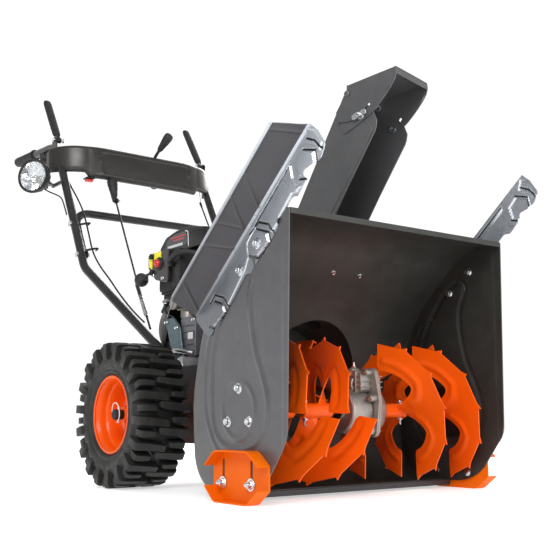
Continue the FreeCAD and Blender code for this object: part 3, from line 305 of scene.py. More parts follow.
def inside(points, loop):
    x, y = points[:, 0], points[:, 1]
    res = np.zeros(len(points), bool)
    n = len(loop)
    for i in range(n):
        x0, y0 = loop[i]
        x1, y1 = loop[(i + 1) % n]
        cond = ((y0 > y) != (y1 > y))
        with np.errstate(divide="ignore", invalid="ignore"):
            xi = (x1 - x0) * (y - y0) / (y1 - y0 + 1e-12) + x0
        res ^= cond & (x < xi)
    return res


def distance_to(points, line):
    """Distance of each 2D point to an open polyline."""
    best = np.full(len(points), 1e9)
    for (x0, y0), (x1, y1) in zip(line, line[1:]):
        dx, dy = x1 - x0, y1 - y0
        t = np.clip(((points[:, 0] - x0) * dx + (points[:, 1] - y0) * dy) / (dx * dx + dy * dy + 1e-12), 0, 1)
        best = np.minimum(best, np.hypot(points[:, 0] - x0 - t * dx, points[:, 1] - y0 - t * dy))
    return best


def bead(points, line, width, height, power=2.0):
    """Smooth ridge along a line, zero beyond its half width."""
    d = distance_to(points, line) / (width / 2)
    return height * np.clip(1 - d ** power, 0, 1) ** 1.5


def plateau(points, loop, ramp, height):
    """Raised flat area inside a loop with sloping sides of the given width."""
    d = distance_to(points, list(loop) + [loop[0]])
    signed = np.where(inside(points, loop), d, -d)
    t = np.clip(signed / ramp + 0.5, 0, 1)
    return height * t * t * (3 - 2 * t)


def pressed_sheet(outline, holes, place, thickness, height, step, edge_step=None):
    """A pressed sheet: triangulated front and back following height, with its edges closed."""
    edge_step = edge_step or step * 0.75
    loops = [densify(outline, edge_step)] + [densify(h, min(edge_step, 2.0)) for h in holes]
    pts = [q for loop in loops for q in loop]
    edges = []
    base = 0
    for loop in loops:
        edges += [(base + i, base + (i + 1) % len(loop)) for i in range(len(loop))]
        base += len(loop)
    arr = np.array(loops[0])
    lo, hi = arr.min(0), arr.max(0)
    gx, gy = np.meshgrid(np.arange(lo[0] + step / 2, hi[0], step),
                         np.arange(lo[1] + step / 2, hi[1], step * 0.87))
    gx = gx + (np.arange(gx.shape[0]) % 2)[:, None] * step / 2
    grid = np.column_stack([gx.ravel(), gy.ravel()])
    keep = inside(grid, loops[0])
    for h in loops[1:]:
        keep &= ~inside(grid, h)
    grid = grid[keep]
    if len(grid):
        d = np.full(len(grid), 1e9)
        for loop in loops:
            d = np.minimum(d, distance_to(grid, list(loop) + [loop[0]]))
        grid = grid[d > step * 0.45]
    pts += [tuple(q) for q in grid]
    out_v, _, out_f, *_ = delaunay_2d_cdt([Vector(q) for q in pts], edges, [], 5 if holes else 1, 1e-5)
    flat = np.array([tuple(v) for v in out_v])
    h = height(flat) if height is not None else np.zeros(len(flat))
    front = place(flat[:, 0], flat[:, 1], h + thickness)
    back = place(flat[:, 0], flat[:, 1], h)
    n = len(flat)
    tris = [tuple(f) for f in out_f]
    count = {}
    for f in tris:
        for i in range(len(f)):
            e = (f[i], f[(i + 1) % len(f)])
            count[e] = count.get(e, 0) + 1
    border = [e for e in count if (e[1], e[0]) not in count]
    faces = tris + [tuple(n + i for i in reversed(f)) for f in tris]
    faces += [(e[1], e[0], n + e[0], n + e[1]) for e in border]
    return np.vstack([front, back]), faces


def plane_x(x0, side):
    """Places (y, z, h) on a plane across X with h pointing outwards."""
    def place(a, b, h):
        return np.column_stack([np.full(len(a), 0.0) + side * (x0 + h), a, b])
    return place


# ------------------------------------------------------------ materials

def blank(name):
    m = bpy.data.materials.new(name)
    m.use_nodes = True
    nt = m.node_tree
    return m, nt, nt.nodes["Principled BSDF"]


def add(nt, kind, **values):
    n = nt.nodes.new(kind)
    for key, value in values.items():
        setattr(n, key, value)
    return n


def field(nt, kind="ShaderNodeTexNoise", scale=10.0, detail=3.0, stretch=(1, 1, 1), distortion=0.0,
          roughness=0.5):
    """A texture over the object's own coordinates, in cycles per metre."""
    coord = add(nt, "ShaderNodeTexCoord")
    vec = coord.outputs["Object"]
    if tuple(stretch) != (1, 1, 1):
        mapping = add(nt, "ShaderNodeMapping")
        mapping.inputs["Scale"].default_value = stretch
        nt.links.new(vec, mapping.inputs["Vector"])
        vec = mapping.outputs["Vector"]
    t = add(nt, kind)
    t.inputs["Scale"].default_value = scale
    if kind == "ShaderNodeTexNoise":
        t.inputs["Detail"].default_value = detail
        t.inputs["Roughness"].default_value = roughness
        t.inputs["Distortion"].default_value = distortion
        out = t.outputs["Fac"]
    else:
        out = t.outputs["Distance"]
    nt.links.new(vec, t.inputs["Vector"])
    return out


def ramp(nt, fac, stops):
    r = add(nt, "ShaderNodeValToRGB")
    while len(r.color_ramp.elements) < len(stops):
        r.color_ramp.elements.new(0.5)
    for e, (pos, col) in zip(r.color_ramp.elements, stops):
        e.position = pos
        e.color = (*col, 1) if len(col) == 3 else col
    nt.links.new(fac, r.inputs["Fac"])
    return r.outputs["Color"]


def span(nt, value, low, high, out_low, out_high):
    r = add(nt, "ShaderNodeMapRange")
    for key, v in (("From Min", low), ("From Max", high), ("To Min", out_low), ("To Max", out_high)):
        r.inputs[key].default_value = v
    nt.links.new(value, r.inputs["Value"])
    return r.outputs["Result"]


def mixed(nt, fac, a, b, mode="MIX"):
    n = add(nt, "ShaderNodeMix", data_type="RGBA", blend_type=mode)
    if isinstance(fac, float):
        n.inputs[0].default_value = fac
    else:
        nt.links.new(fac, n.inputs[0])
    for socket, value in ((n.inputs[6], a), (n.inputs[7], b)):
        if isinstance(value, tuple):
            socket.default_value = (*value, 1)
        else:
            nt.links.new(value, socket)
    return n.outputs[2]


def scaled(color, k):
    return tuple(min(1.0, c * k) for c in color)


def surface(name, color, rough=0.4, metallic=0.0, coat=0.0, coat_rough=0.08, specular=0.5,
            mottle=0.08, mottle_scale=14.0, rough_vary=0.08, rough_scale=22.0,
            grain=0.06, grain_scale=1400.0, grain_depth=0.0001, wave=0.0, wave_scale=60.0,
            dust=0.0, dust_color=(0.42, 0.40, 0.37), dust_scale=30.0, stretch=(1, 1, 1), wear=0.0,
            wear_color=(0.6, 0.6, 0.6)):
    """A finish with colour mottling, fine grain and, if asked, slow unevenness, dust and worn specks."""
    m, nt, b = blank(name)
    b.inputs["Metallic"].default_value = metallic
    b.inputs["Specular IOR Level"].default_value = specular
    b.inputs["Coat Weight"].default_value = coat
    b.inputs["Coat Roughness"].default_value = coat_rough
    broad = field(nt, scale=mottle_scale, detail=5.0, stretch=stretch)
    col = ramp(nt, broad, [(0.3, scaled(color, 1 - mottle)), (0.5, color), (0.7, scaled(color, 1 + mottle))])
    if dust:
        veil = field(nt, scale=dust_scale, detail=8.0, roughness=0.65)
        amount = span(nt, veil, 0.42, 0.78, 0.0, dust)
        col = mixed(nt, amount, col, dust_color)
    if wear:
        specks = field(nt, scale=180.0, detail=6.0, roughness=0.7)
        amount = span(nt, specks, 0.70, 0.76, 0.0, wear)
        col = mixed(nt, amount, col, wear_color)
    nt.links.new(col, b.inputs["Base Color"])
    smear = field(nt, scale=rough_scale, detail=6.0, roughness=0.6)
    nt.links.new(span(nt, smear, 0.3, 0.7, max(0.02, rough - rough_vary), min(1.0, rough + rough_vary)),
                 b.inputs["Roughness"])
    fine = field(nt, scale=grain_scale, detail=2.0, stretch=stretch)
    bump = add(nt, "ShaderNodeBump")
    bump.inputs["Strength"].default_value = grain
    bump.inputs["Distance"].default_value = grain_depth
    nt.links.new(fine, bump.inputs["Height"])
    last = bump
    if wave:
        slow = field(nt, scale=wave_scale, detail=1.0)
        soft = add(nt, "ShaderNodeBump")
        soft.inputs["Strength"].default_value = wave
        soft.inputs["Distance"].default_value = 0.002
        nt.links.new(slow, soft.inputs["Height"])
        nt.links.new(bump.outputs["Normal"], soft.inputs["Normal"])
        last = soft
    nt.links.new(last.outputs["Normal"], b.inputs["Normal"])
    return m


ORANGE = (0.84, 0.100, 0.002)
M = {}
M["orange"] = surface("orange_gloss", ORANGE, 0.36, specular=0.26, coat=0.16, coat_rough=0.14, mottle=0.05,
                      grain=0.05, grain_scale=700,
                      wave=0.05, wave_scale=55, rough_vary=0.06)
M["orange_skid"] = surface("orange_skid", (0.80, 0.135, 0.001), 0.46, specular=0.10, coat=0.03, mottle=0.06,
                           grain=0.08, grain_scale=700,
                           wave=0.04, rough_vary=0.08, wear=0.25, wear_color=(0.5, 0.10, 0.01))
M["plate"] = surface("plate_grey", (0.085, 0.085, 0.091), 0.38, metallic=0.2, coat=0.25, coat_rough=0.28,
                     mottle=0.07,
                     grain=0.12, grain_scale=1100, wave=0.03, dust=0.05, dust_scale=45)
M["housing"] = surface("housing_dark", (0.024, 0.0245, 0.0215), 0.48, coat=0.12, coat_rough=0.35,
                       mottle=0.10, grain=0.10,
                       grain_scale=1100, wave=0.04, dust=0.03)
M["frame"] = surface("frame_black", (0.018, 0.018, 0.020), 0.45, coat=0.2, coat_rough=0.3, mottle=0.1,
                     grain=0.12, dust=0.04)
M["handle"] = surface("handle_grey", (0.021, 0.020, 0.020), 0.36, metallic=0.1, specular=0.35, coat=0.15,
                      coat_rough=0.2, mottle=0.08, grain=0.1,
                      grain_scale=1200, dust=0.04)
M["chute"] = surface("chute_grey", (0.070, 0.071, 0.074), 0.46, metallic=0.1, coat=0.2, coat_rough=0.3,
                     mottle=0.08, grain=0.12,
                     wave=0.04, dust=0.04)
M["cutter"] = surface("cutter_silver", (0.62, 0.655, 0.71), 0.32, metallic=0.72, coat=0.1, coat_rough=0.3,
                      mottle=0.07,
                      grain=0.12, grain_scale=1500, wave=0.03, dust=0.03)
M["blade"] = surface("cutter_grey", (0.060, 0.060, 0.066), 0.38, metallic=0.35, coat=0.2, coat_rough=0.3,
                     mottle=0.08, grain=0.12)
M["zinc"] = surface("zinc", (0.66, 0.68, 0.70), 0.24, metallic=1.0, mottle=0.16, mottle_scale=90,
                    grain=0.12, grain_scale=900,
                    rough_vary=0.12, rough_scale=120)
M["zinc_warm"] = surface("zinc_yellowish", (0.62, 0.60, 0.52), 0.28, metallic=1.0, mottle=0.16,
                         mottle_scale=90, grain=0.12,
                         grain_scale=900, rough_vary=0.12, rough_scale=120)
M["steel"] = surface("bare_steel", (0.42, 0.42, 0.43), 0.30, metallic=1.0, mottle=0.15, mottle_scale=40,
                     grain=0.15,
                     grain_scale=500, rough_vary=0.12, rough_scale=60, stretch=(1, 6, 6))
M["black_steel"] = surface("black_oxide", (0.020, 0.019, 0.019), 0.34, metallic=0.4, mottle=0.15,
                           mottle_scale=40, grain=0.15,
                           grain_scale=600, rough_vary=0.1)
M["cast"] = surface("cast_aluminium", (0.36, 0.335, 0.31), 0.46, metallic=0.85, mottle=0.12,
                    mottle_scale=55, grain=0.45,
                    grain_scale=420, grain_depth=0.0004, rough_vary=0.12, rough_scale=70, dust=0.10,
                    dust_color=(0.16, 0.13, 0.11))
M["engine_cast"] = surface("engine_cast", (0.20, 0.20, 0.215), 0.50, metallic=0.8, mottle=0.15,
                           mottle_scale=40, grain=0.45,
                           grain_scale=420, grain_depth=0.0004, rough_vary=0.12, dust=0.12,
                           dust_color=(0.07, 0.07, 0.07))
M["rust_bolt"] = surface("dark_bolt", (0.20, 0.10, 0.07), 0.42, metallic=0.8, mottle=0.25, mottle_scale=120,
                         grain=0.2,
                         dust=0.2, dust_color=(0.5, 0.46, 0.42), dust_scale=200)
M["rubber"] = surface("tyre_rubber", (0.013, 0.0125, 0.012), 0.56, specular=0.42, mottle=0.22,
                      mottle_scale=26, rough_vary=0.16,
                      rough_scale=45, grain=0.5, grain_scale=520, grain_depth=0.0004, dust=0.22,
                      dust_color=(0.085, 0.080, 0.072), dust_scale=42)
M["foam"] = surface("lever_foam", (0.011, 0.011, 0.012), 0.72, mottle=0.12, mottle_scale=60, grain=0.8,
                    grain_scale=900,
                    grain_depth=0.0005, rough_vary=0.1)
M["grip"] = surface("grip_rubber", (0.013, 0.013, 0.014), 0.58, mottle=0.15, mottle_scale=50, grain=0.5,
                    grain_scale=700,
                    grain_depth=0.0003)
M["plastic"] = surface("panel_plastic", (0.022, 0.019, 0.017), 0.34, mottle=0.08, grain=0.22,
                       grain_scale=1600,
                       rough_vary=0.07, coat=0.1, coat_rough=0.25)
M["plastic_matt"] = surface("matt_plastic", (0.016, 0.016, 0.017), 0.50, specular=0.30, mottle=0.10,
                            grain=0.3, grain_scale=1300, rough_vary=0.08)
M["shroud"] = surface("shroud_gloss", (0.007, 0.007, 0.008), 0.22, specular=0.22, mottle=0.08, coat=0.10,
                      coat_rough=0.06, grain=0.04,
                      rough_vary=0.05, wave=0.03, wave_scale=40)
M["red"] = surface("red_rubber", (0.62, 0.012, 0.010), 0.32, coat=0.4, coat_rough=0.12, mottle=0.08,
                   grain=0.1)
M["yellow"] = surface("yellow_tag", (0.80, 0.72, 0.03), 0.42, mottle=0.06, grain=0.08)
M["label"] = surface("label_grey", (0.050, 0.050, 0.056), 0.34, specular=0.3, mottle=0.10, mottle_scale=60,
                     coat=0.4, grain=0.03)
M["label_light"] = surface("label_light", (0.66, 0.66, 0.66), 0.35, mottle=0.05, coat=0.3, grain=0.03)
M["white"] = surface("white_plastic", (0.74, 0.73, 0.70), 0.40, mottle=0.05, grain=0.08)
M["teal"] = surface("teal_sheet", (0.075, 0.125, 0.14), 0.32, metallic=0.6, mottle=0.2, mottle_scale=35,
                    coat=0.3, grain=0.1)
M["tank"] = surface("tank_grey", (0.045, 0.045, 0.048), 0.30, coat=0.5, coat_rough=0.12, mottle=0.07,
                    grain=0.05, wave=0.03)
M["wire"] = surface("cable_black", (0.012, 0.012, 0.013), 0.42, mottle=0.12, mottle_scale=70, grain=0.25,
                    grain_scale=800)
M["exhaust"] = surface("exhaust_steel", (0.16, 0.15, 0.14), 0.45, metallic=0.9, mottle=0.25,
                       mottle_scale=25, grain=0.2,
                       rough_vary=0.15, dust=0.2, dust_color=(0.10, 0.06, 0.04))
M["bronze"] = surface("bronze", (0.45, 0.28, 0.10), 0.35, metallic=1.0, mottle=0.15, grain=0.2)
M["belt"] = surface("belt_rubber", (0.014, 0.014, 0.014), 0.65, mottle=0.15, grain=0.5, grain_scale=600)


def chrome_material():
    m, nt, b = blank("lamp_reflector")
    b.inputs["Metallic"].default_value = 1.0
    tint = field(nt, scale=70.0, detail=2.0)
    nt.links.new(ramp(nt, tint, [(0.3, (0.80, 0.81, 0.82)), (0.7, (0.95, 0.95, 0.95))]),
                 b.inputs["Base Color"])
    nt.links.new(span(nt, tint, 0.3, 0.7, 0.05, 0.13), b.inputs["Roughness"])
    cells = field(nt, kind="ShaderNodeTexVoronoi", scale=120.0)
    bump = add(nt, "ShaderNodeBump")
    bump.inputs["Strength"].default_value = 0.35
    bump.inputs["Distance"].default_value = 0.001
    nt.links.new(cells, bump.inputs["Height"])
    nt.links.new(bump.outputs["Normal"], b.inputs["Normal"])
    return m


def glass_material():
    m, nt, b = blank("lamp_lens")
    b.inputs["Transmission Weight"].default_value = 0.92
    b.inputs["IOR"].default_value = 1.45
    tint = field(nt, scale=60.0, detail=2.0)
    nt.links.new(ramp(nt, tint, [(0.3, (0.90, 0.93, 0.96)), (0.7, (0.98, 0.99, 1.0))]),
                 b.inputs["Base Color"])
    nt.links.new(span(nt, tint, 0.3, 0.7, 0.02, 0.08), b.inputs["Roughness"])
    bump = add(nt, "ShaderNodeBump")
    bump.inputs["Strength"].default_value = 0.1
    bump.inputs["Distance"].default_value = 0.0005
    nt.links.new(tint, bump.inputs["Height"])
    nt.links.new(bump.outputs["Normal"], b.inputs["Normal"])
    return m


def paint_shade_by_height(m, z0, z1, low):
    """Painted shade: darkens a finish towards the ground, between two heights in metres."""
    nt = m.node_tree
    base = nt.nodes["Principled BSDF"].inputs["Base Color"]
    unshaded_color = base.links[0].from_socket
    coord = add(nt, "ShaderNodeTexCoord")
    parts = add(nt, "ShaderNodeSeparateXYZ")
    nt.links.new(coord.outputs["Object"], parts.inputs["Vector"])
    share = span(nt, parts.outputs["Z"], z0, z1, low, 1.0)
    nt.links.new(mixed(nt, share, (0.0, 0.0, 0.0), unshaded_color), base)


# Painted shade on the cutter silver: darker lower down, lighter towards the top.
paint_shade_by_height(M["cutter"], 0.38, 0.70, 0.30)
# Painted shade for the pressed creases, and a painted highlight for the sloping sides of the raised areas;
# the highlight is itself darkened lower down as painted shade.
M["groove"] = surface("painted_crease_shade", (0.016, 0.016, 0.018), 0.5, specular=0.3, mottle=0.15, grain=0.1)
M["ridge"] = surface("painted_ramp_highlight", (0.72, 0.74, 0.78), 0.26, metallic=0.8, mottle=0.08, grain=0.1)
paint_shade_by_height(M["ridge"], 0.30, 0.62, 0.55)
M["chrome"] = chrome_material()
M["glass"] = glass_material()


# ------------------------------------------------------------ CAD nodes that stay

LOOKS = {
    "auger_housing": "housing", "impeller_housing": "housing", "chute_ring": "frame", "scraper_bar": "frame",
    "side_plate_right": "plate", "side_plate_left": "plate", "drift_cutter_right": "cutter",
    "drift_cutter_left": "cutter",
    "skid_shoe_right": "orange_skid", "skid_shoe_left": "orange_skid", "tyre_right": "rubber",
    "tyre_left": "rubber",
    "handle_tube_right": "handle", "handle_tube_left": "handle", "clutch_lever_right": "foam",
    "clutch_lever_left": "foam",
    "auger_right": "orange", "auger_left": "orange", "housing_bolts": "zinc", "shaft_bearings": "black_steel",
    "skid_nuts": "zinc", "gearbox_case": "cast", "gearbox_bolts": "rust_bolt", "auger_shaft": "black_steel",
    "worm_wheel": "bronze", "shear_bolts": "zinc", "impeller": "orange", "impeller_shaft": "steel",
    "impeller_pulley": "steel", "drive_belt": "belt", "belt_cover": "plastic_matt",
    "transmission_case": "frame",
    "wheel_axle": "black_steel", "wheel_rims": "orange", "hub_pins": "zinc", "engine_block": "engine_cast",
    "engine_shroud": "shroud", "recoil_starter": "shroud", "starter_handle": "plastic_matt",
    "control_box": "plastic_matt",
    "primer_bulb": "red", "throttle_lever": "plastic_matt", "muffler": "exhaust", "fuel_tank": "tank",
    "fuel_cap": "plastic_matt", "oil_cap": "plastic_matt", "cross_brace": "handle", "handle_bolts": "zinc",
    "handle_grips": "grip", "dash_panel": "plastic", "gear_lever": "plastic_matt", "shift_rod": "black_steel",
    "lamp_switch": "red", "lamp_bracket": "frame", "headlight": "plastic_matt", "cables": "wire",
    "discharge_chute": "chute", "hood_bolts": "zinc", "deflector_hood": "chute", "hood_knob": "zinc",
}
EDGES = {
    "auger_housing": 0.0, "impeller_housing": 0.0, "tyre_right": 2.0, "tyre_left": 2.0, "wheel_rims": 0.6,
    "skid_shoe_right": 0.8, "skid_shoe_left": 0.8, "dash_panel": 2.0, "control_box": 2.0,
    "transmission_case": 2.0,
    "fuel_tank": 2.5, "engine_block": 1.2, "belt_cover": 2.0, "starter_handle": 2.0, "gearbox_case": 1.2,
}

for node, look in LOOKS.items():
    o = NODES[node]
    for slot_index in range(len(o.material_slots)):
        o.material_slots[slot_index].material = M[look]
    width = EDGES.get(node, 0.5)
    if width:
        mod = o.modifiers.new("edge", "BEVEL")
        mod.width = width / 1000
        mod.segments = 2
        mod.limit_method = "ANGLE"
        mod.angle_limit = math.radians(40)
        mod.use_clamp_overlap = True


# ------------------------------------------------------------ wheels

AXLE = (660.0, 178.0)
TYRE_MID = 283.0


def wheel_point(side, x, r, angle, shift=0.0):
    """x from the middle of the tyre outwards, r and angle about the axle, shift along the tread."""
    t = angle + shift / max(r, 1.0)
    return (side * (TYRE_MID + x), AXLE[0] + r * math.cos(t), AXLE[1] + r * math.sin(t))


def tread_lug(side, flip, x_in, angle, half, curl, inset, foot):
    """One lug from the shoulder to x_in, running down over the sidewall to the radius foot."""
    skin = [(66.0 - inset, foot), (70.0 - inset, foot + 5), (71.0 - inset, foot + 14), (71.0 - inset, 170),
            (69.0 - inset, 175.8), (61 - inset, 177.8), (48, 178)]
    base = [(57.0 - inset, foot), (58.0 - inset, foot + 3), (58.0 - inset, foot + 8), (56.0 - inset, 152),
            (54.0 - inset, 154),
            (50, 155), (44, 155)]
    wide = [0.86, 0.96, 1.0, 1.05, 1.05, 1.0, 0.98]
    steps = 5
    for k in range(1, steps + 1):
        x = 48 + (x_in + 7 - 48) * k / steps
        skin.append((x, 178))
        base.append((x, 155))
        wide.append(0.98 - 0.10 * k / steps)
    skin += [(x_in + 2.5, 177.2), (x_in, 174.0), (x_in - 0.8, 156)]
    base += [(x_in + 2.0, 155), (x_in + 1.0, 155), (x_in + 0.6, 155)]
    wide += [0.74, 0.60, 0.52]
    verts = []
    for (sx, sr), (bx, br), w in zip(skin, base, wide):
        bend = curl * ((66 - min(sx, 66)) / 85.0) ** 1.6 * flip
        w *= half
        for x, r, c in ((bx, br, -w - 1.4), (sx, sr, -w), (sx, sr, w), (bx, br, w + 1.4)):
            verts.append(wheel_point(side, x * flip, r, angle, c + bend * flip))
    m = len(skin)
    faces = [(0, 1, 2, 3), tuple(4 * (m - 1) + i for i in (3, 2, 1, 0))]
    for i in range(m - 1):
        for k in range(4):
            faces.append((4 * i + k, 4 * i + (k + 1) % 4, 4 * (i + 1) + (k + 1) % 4, 4 * (i + 1) + k))
    return np.array(verts), faces


def tyre_mesh(side):
    half = [(46, 91), (50.5, 94.0), (54.0, 97.6), (58.0, 100.4), (61.6, 103.6), (62.4, 107.6),
            (61.0, 111.0), (62.6, 115), (65.0, 122),
            (65.8, 130), (64.6, 139), (61.4, 147), (56.0, 152.6), (46.0, 156), (30.0, 157.6), (14.0, 158.4),
            (0.0, 158.6)]
    profile = half + [(-x, r) for x, r in reversed(half[:-1])]
    profile += [(-42, 88), (42, 88)]
    n = 144
    verts, faces = [], []
    m = len(profile)
    for k in range(n):
        t = 2 * math.pi * k / n
        for x, r in profile:
            verts.append(wheel_point(side, x, r, t))
    for k in range(n):
        k2 = (k + 1) % n
        for i in range(m):
            i2 = (i + 1) % m
            faces.append((k * m + i, k2 * m + i, k2 * m + i2, k * m + i2))
    parts = [(np.array(verts), faces)]
    for k in range(18):
        a = 2 * math.pi * (k + 0.25) / 18
        b = a + math.pi / 18
        parts.append(tread_lug(side, 1, -13.0, a, 9.4, 9.0, 0.0, 134))
        parts.append(tread_lug(side, 1, 20.0, b, 7.4, 5.0, 7.5, 147))
        parts.append(tread_lug(side, -1, -13.0, b, 9.4, -9.0, 0.0, 134))
        parts.append(tread_lug(side, -1, 20.0, a, 7.4, -5.0, 7.5, 147))
    # Ribs round the bead on the sidewall.
    for r, x in ((112.0, 61.2), (117.0, 63.4)):
        for f in (1, -1):
            o = wheel_point(side, f * x, 0, 0)
            parts.append(lathe([(-1.2, r - 1.6), (0.7, r), (-1.2, r + 1.6)], o, (side * f, 0, 0), 96))
    return merge(parts)


for name, side in (("right", -1), ("left", 1)):
    v, f = tyre_mesh(side)
    piece("tyre_tread_" + name, v, f, M["rubber"], "wheels", ["tyre_" + name], "tyre", smooth=40,
          bevel=0.0012)


def rim_mesh(side):
    face = [(339.0, 89.5), (340.6, 91.5), (340.8, 94.5), (339.0, 96.6), (336.6, 96.2), (335.0, 93.5),
            (333.6, 89.0), (329.0, 85.6),
            (322.0, 84.4), (312, 83.6), (308.5, 81.0), (306.0, 79.4), (285.0, 78.0), (272.0, 76.4),
            (265.0, 72.0), (261.6, 65.0),
            (260.6, 55.0), (262.4, 50.0), (263.4, 46.0), (262.0, 42.0), (261.0, 34.0), (262.4, 28.0),
            (267.0, 22.6), (274.0, 20.4),
            (305.5, 20.0), (307.6, 19.2), (308.0, 17.4), (307.6, 12.4)]
    back = [(300, 12.4), (216, 12.4), (215, 13.6), (215, 23.0), (216.0, 24.0), (256.0, 24.0), (257.4, 34),
            (256.6, 55),
            (254.0, 72.0), (250.0, 77.6), (236.0, 79.6), (231, 84.0), (228.0, 90.0), (226.0, 95.6),
            (224.8, 95.0), (225.4, 89.0),
            (229.6, 82.0), (233.0, 82.6), (244, 81.0), (300, 81.4), (312, 84.6), (330, 87.0), (335.6, 91.0)]
    profile = [(x - 0.0, r) for x, r in reversed(face)]
    ring = profile + list(reversed(back))
    v, f = lathe([(x, r) for x, r in ring], (0, AXLE[0], AXLE[1]), (side, 0, 0), 96, closed=True)
    return v, f


def valve(side):
    turn = math.radians(100)
    def at(x, r):
        return (side * x, AXLE[0] + r * math.cos(turn), AXLE[1] + r * math.sin(turn))
    path = [at(278, 74), at(286, 70.5), at(297, 66), at(306, 62.5)]
    return sweep(catmull(path, 4), [5.6, 5.4, 5.0, 4.8, 4.6, 4.4, 4.2, 4.0, 3.9, 4.3, 4.3, 4.3, 4.0], 14)


rims = merge([rim_mesh(-1), rim_mesh(1)])
piece("wheel_rims_dished", *rims, M["orange"], "wheels", ["wheel_rims"], "rim_paint", smooth=32, bevel=0.0003)
piece("wheel_valves", *merge([valve(-1), valve(1)]), M["grip"], "wheels", smooth=40)


def hub_clip(side):
    """Spring ring of the hub pin, hooked over the axle end."""
    pts = []
    for k in range(15):
        t = math.radians(-30 + 300 * k / 14)
        r = 24 + 3.0 * math.sin(t)
        pts.append((side * (318 + 10 * math.sin(t * 0.5 + 0.4)), AXLE[0] + r * math.cos(t),
                    AXLE[1] + 2 + r * math.sin(t)))
    return sweep(catmull(pts, 4), 1.3, 8)


pins = [lathe([(0, 0.05), (0, 2.6), (0.8, 3.3), (39.2, 3.3), (40, 2.6), (40, 0.05)], (side * 318, AXLE[0],
    AXLE[1] - 20),
              (0, 0, 1), 20) for side in (-1, 1)]
v, f = merge([hub_clip(-1), hub_clip(1)] + pins)
piece("hub_pin_clips", v, f, M["white"], "wheels", ["hub_pins"], "pin_steel", smooth=40)
end_caps = []
for side in (-1, 1):
    end_caps.append(lathe([(0, 12.1), (0, 13.4), (4.0, 13.2), (7.5, 12.6), (9.0, 10.4), (9.4, 5.0),
                           (8.4, 4.2), (8.4, 0.05)],
                          (side * 322.6, *AXLE), (side, 0, 0), 32))
piece("axle_end_caps", *merge(end_caps), M["grip"], "wheels", smooth=35)


# ------------------------------------------------------------ side plates

PLATE_SHAPE = round_poly([(-37, 574), (76, 574), (264.5, 412), (321, 215.5), (303, 17.5), (60, 17.5),
                          (-28, 128)],
                         [4, 150, 300, 300, 87, 120, 60], 6)
BEARING_BOLTS = [(137 + 45 * math.cos(math.radians(a)), 183 + 45 * math.sin(math.radians(a))) for a in (90,
    210, 330)]
CUTTER_BOLTS = [(62, 515), (127, 469)]
SKID_STUDS = [(85, 38), (186, 38)]


def hole(y, z, r, n=18):
    return [(y + r * math.cos(2 * math.pi * k / n), z + r * math.sin(2 * math.pi * k / n)) for k in range(n)]


def square(y, z, half):
    return [(y - half, z - half), (y + half, z - half), (y + half, z + half), (y - half, z + half)]


TEARDROP = [tuple(q) for q in catmull([(78, 472), (97, 420), (94, 364), (79, 301), (55, 250), (36, 195),
                                       (44, 150), (82, 116),
                                       (130, 104), (186, 110), (226, 140), (238, 185), (240, 240),
                                       (236, 300), (222, 350),
                                       (196, 404), (160, 452), (122, 486), (92, 494)], 6, closed=True)]
REAR_LINE = [tuple(q) for q in catmull([(226, 392), (240, 366), (257, 312), (268, 247), (264, 180),
                                        (236, 124), (196, 84)], 6)]
RING_LINE = [(137 + 58 * math.cos(t), 183 + 58 * math.sin(t)) for t in np.linspace(0, 2 * math.pi, 61)]


def plate_height(q):
    h = bead(q, TEARDROP + [TEARDROP[0]], 17, 3.4, 2.2)
    h = np.maximum(h, bead(q, REAR_LINE, 15, 2.4))
    h = np.maximum(h, bead(q, RING_LINE, 14, 2.8))
    h = np.maximum(h, np.where(q[:, 0] < -15, 1.0, np.clip(1.0 - (q[:, 0] + 15) / 2.4, 0, 1)))
    # The rim of the plate is rolled over the edge of the wrap.
    edge = distance_to(q, PLATE_SHAPE + [PLATE_SHAPE[0]])
    rear = q[:, 0] > 60
    h = h - np.where(rear, 1.8 * np.clip(1 - edge / 4.0, 0, 1) ** 1.5, 0)
    return h


def side_plate(name, side):
    holes = [square(21, z, 4) for z in (460, 284, 89)]
    holes += [hole(y, z, 4.2) for y, z in BEARING_BOLTS + CUTTER_BOLTS + SKID_STUDS]
    v, f = pressed_sheet(PLATE_SHAPE, holes, plane_x(307.5, side), 2.8, plate_height, 4.2)
    count = sum(1 for face in f if len(face) == 3)
    # The inner faces, inside the housing, take the darker housing paint as painted shade; the outer faces
    # take the plate grey.
    ids = [0 if i < count // 2 else 1 if i < count else 0 for i in range(len(f))]
    piece("side_plate_pressed_" + name, v, f, [M["plate"], M["housing"]], "chassis", ["side_plate_" + name],
          "side_plate_paint", smooth=30, ids=ids)


side_plate("right", -1)
side_plate("left", 1)


# ------------------------------------------------------------ drift cutters

FLANGE = [(-108, 722), (302, 390), (301, 380), (268, 352), (250, 340), (237, 346), (226, 356), (214, 357),
          (172, 397), (150, 416), (107, 460), (91, 458), (77, 473),
          (55, 489), (17, 520), (0, 535), (-4, 552), (-50, 591), (-66, 589), (-78, 600), (-91, 613),
          (-92, 634), (-121, 642),
          (-139, 649), (-151, 673), (-128, 706)]
FLANGE_RADII = [0, 0, 5, 12, 9, 6, 6, 5, 14, 12, 10, 8, 8, 14, 14, 10, 8, 12, 8, 8, 6, 8, 10, 10, 10, 10]
HEX_PADS = [[(-86, 672), (-118, 664), (-122, 644), (-98, 620), (-76, 624), (-66, 652)],
            [(72, 544), (33, 532), (27, 513), (64, 491), (87, 496), (96, 521)],
            [(227, 412), (191, 402), (184, 388), (226, 361), (243, 366), (250, 388)]]
RAISED_MIDDLE = [(-47, 652), (60, 561), (30, 551), (16, 531), (-2, 545), (-10, 558), (-52, 597), (-66, 597),
                 (-80, 606), (-67, 607),
                 (-53, 627)]
RAISED_LOW = [(76, 549), (140, 497), (184, 458), (226, 424), (190, 415), (177, 398), (152, 424), (112, 466),
              (98, 492), (103, 522)]
RAISED_TOP = [(-102, 712), (-124, 704), (-146, 676), (-137, 662), (-120, 676), (-96, 688)]


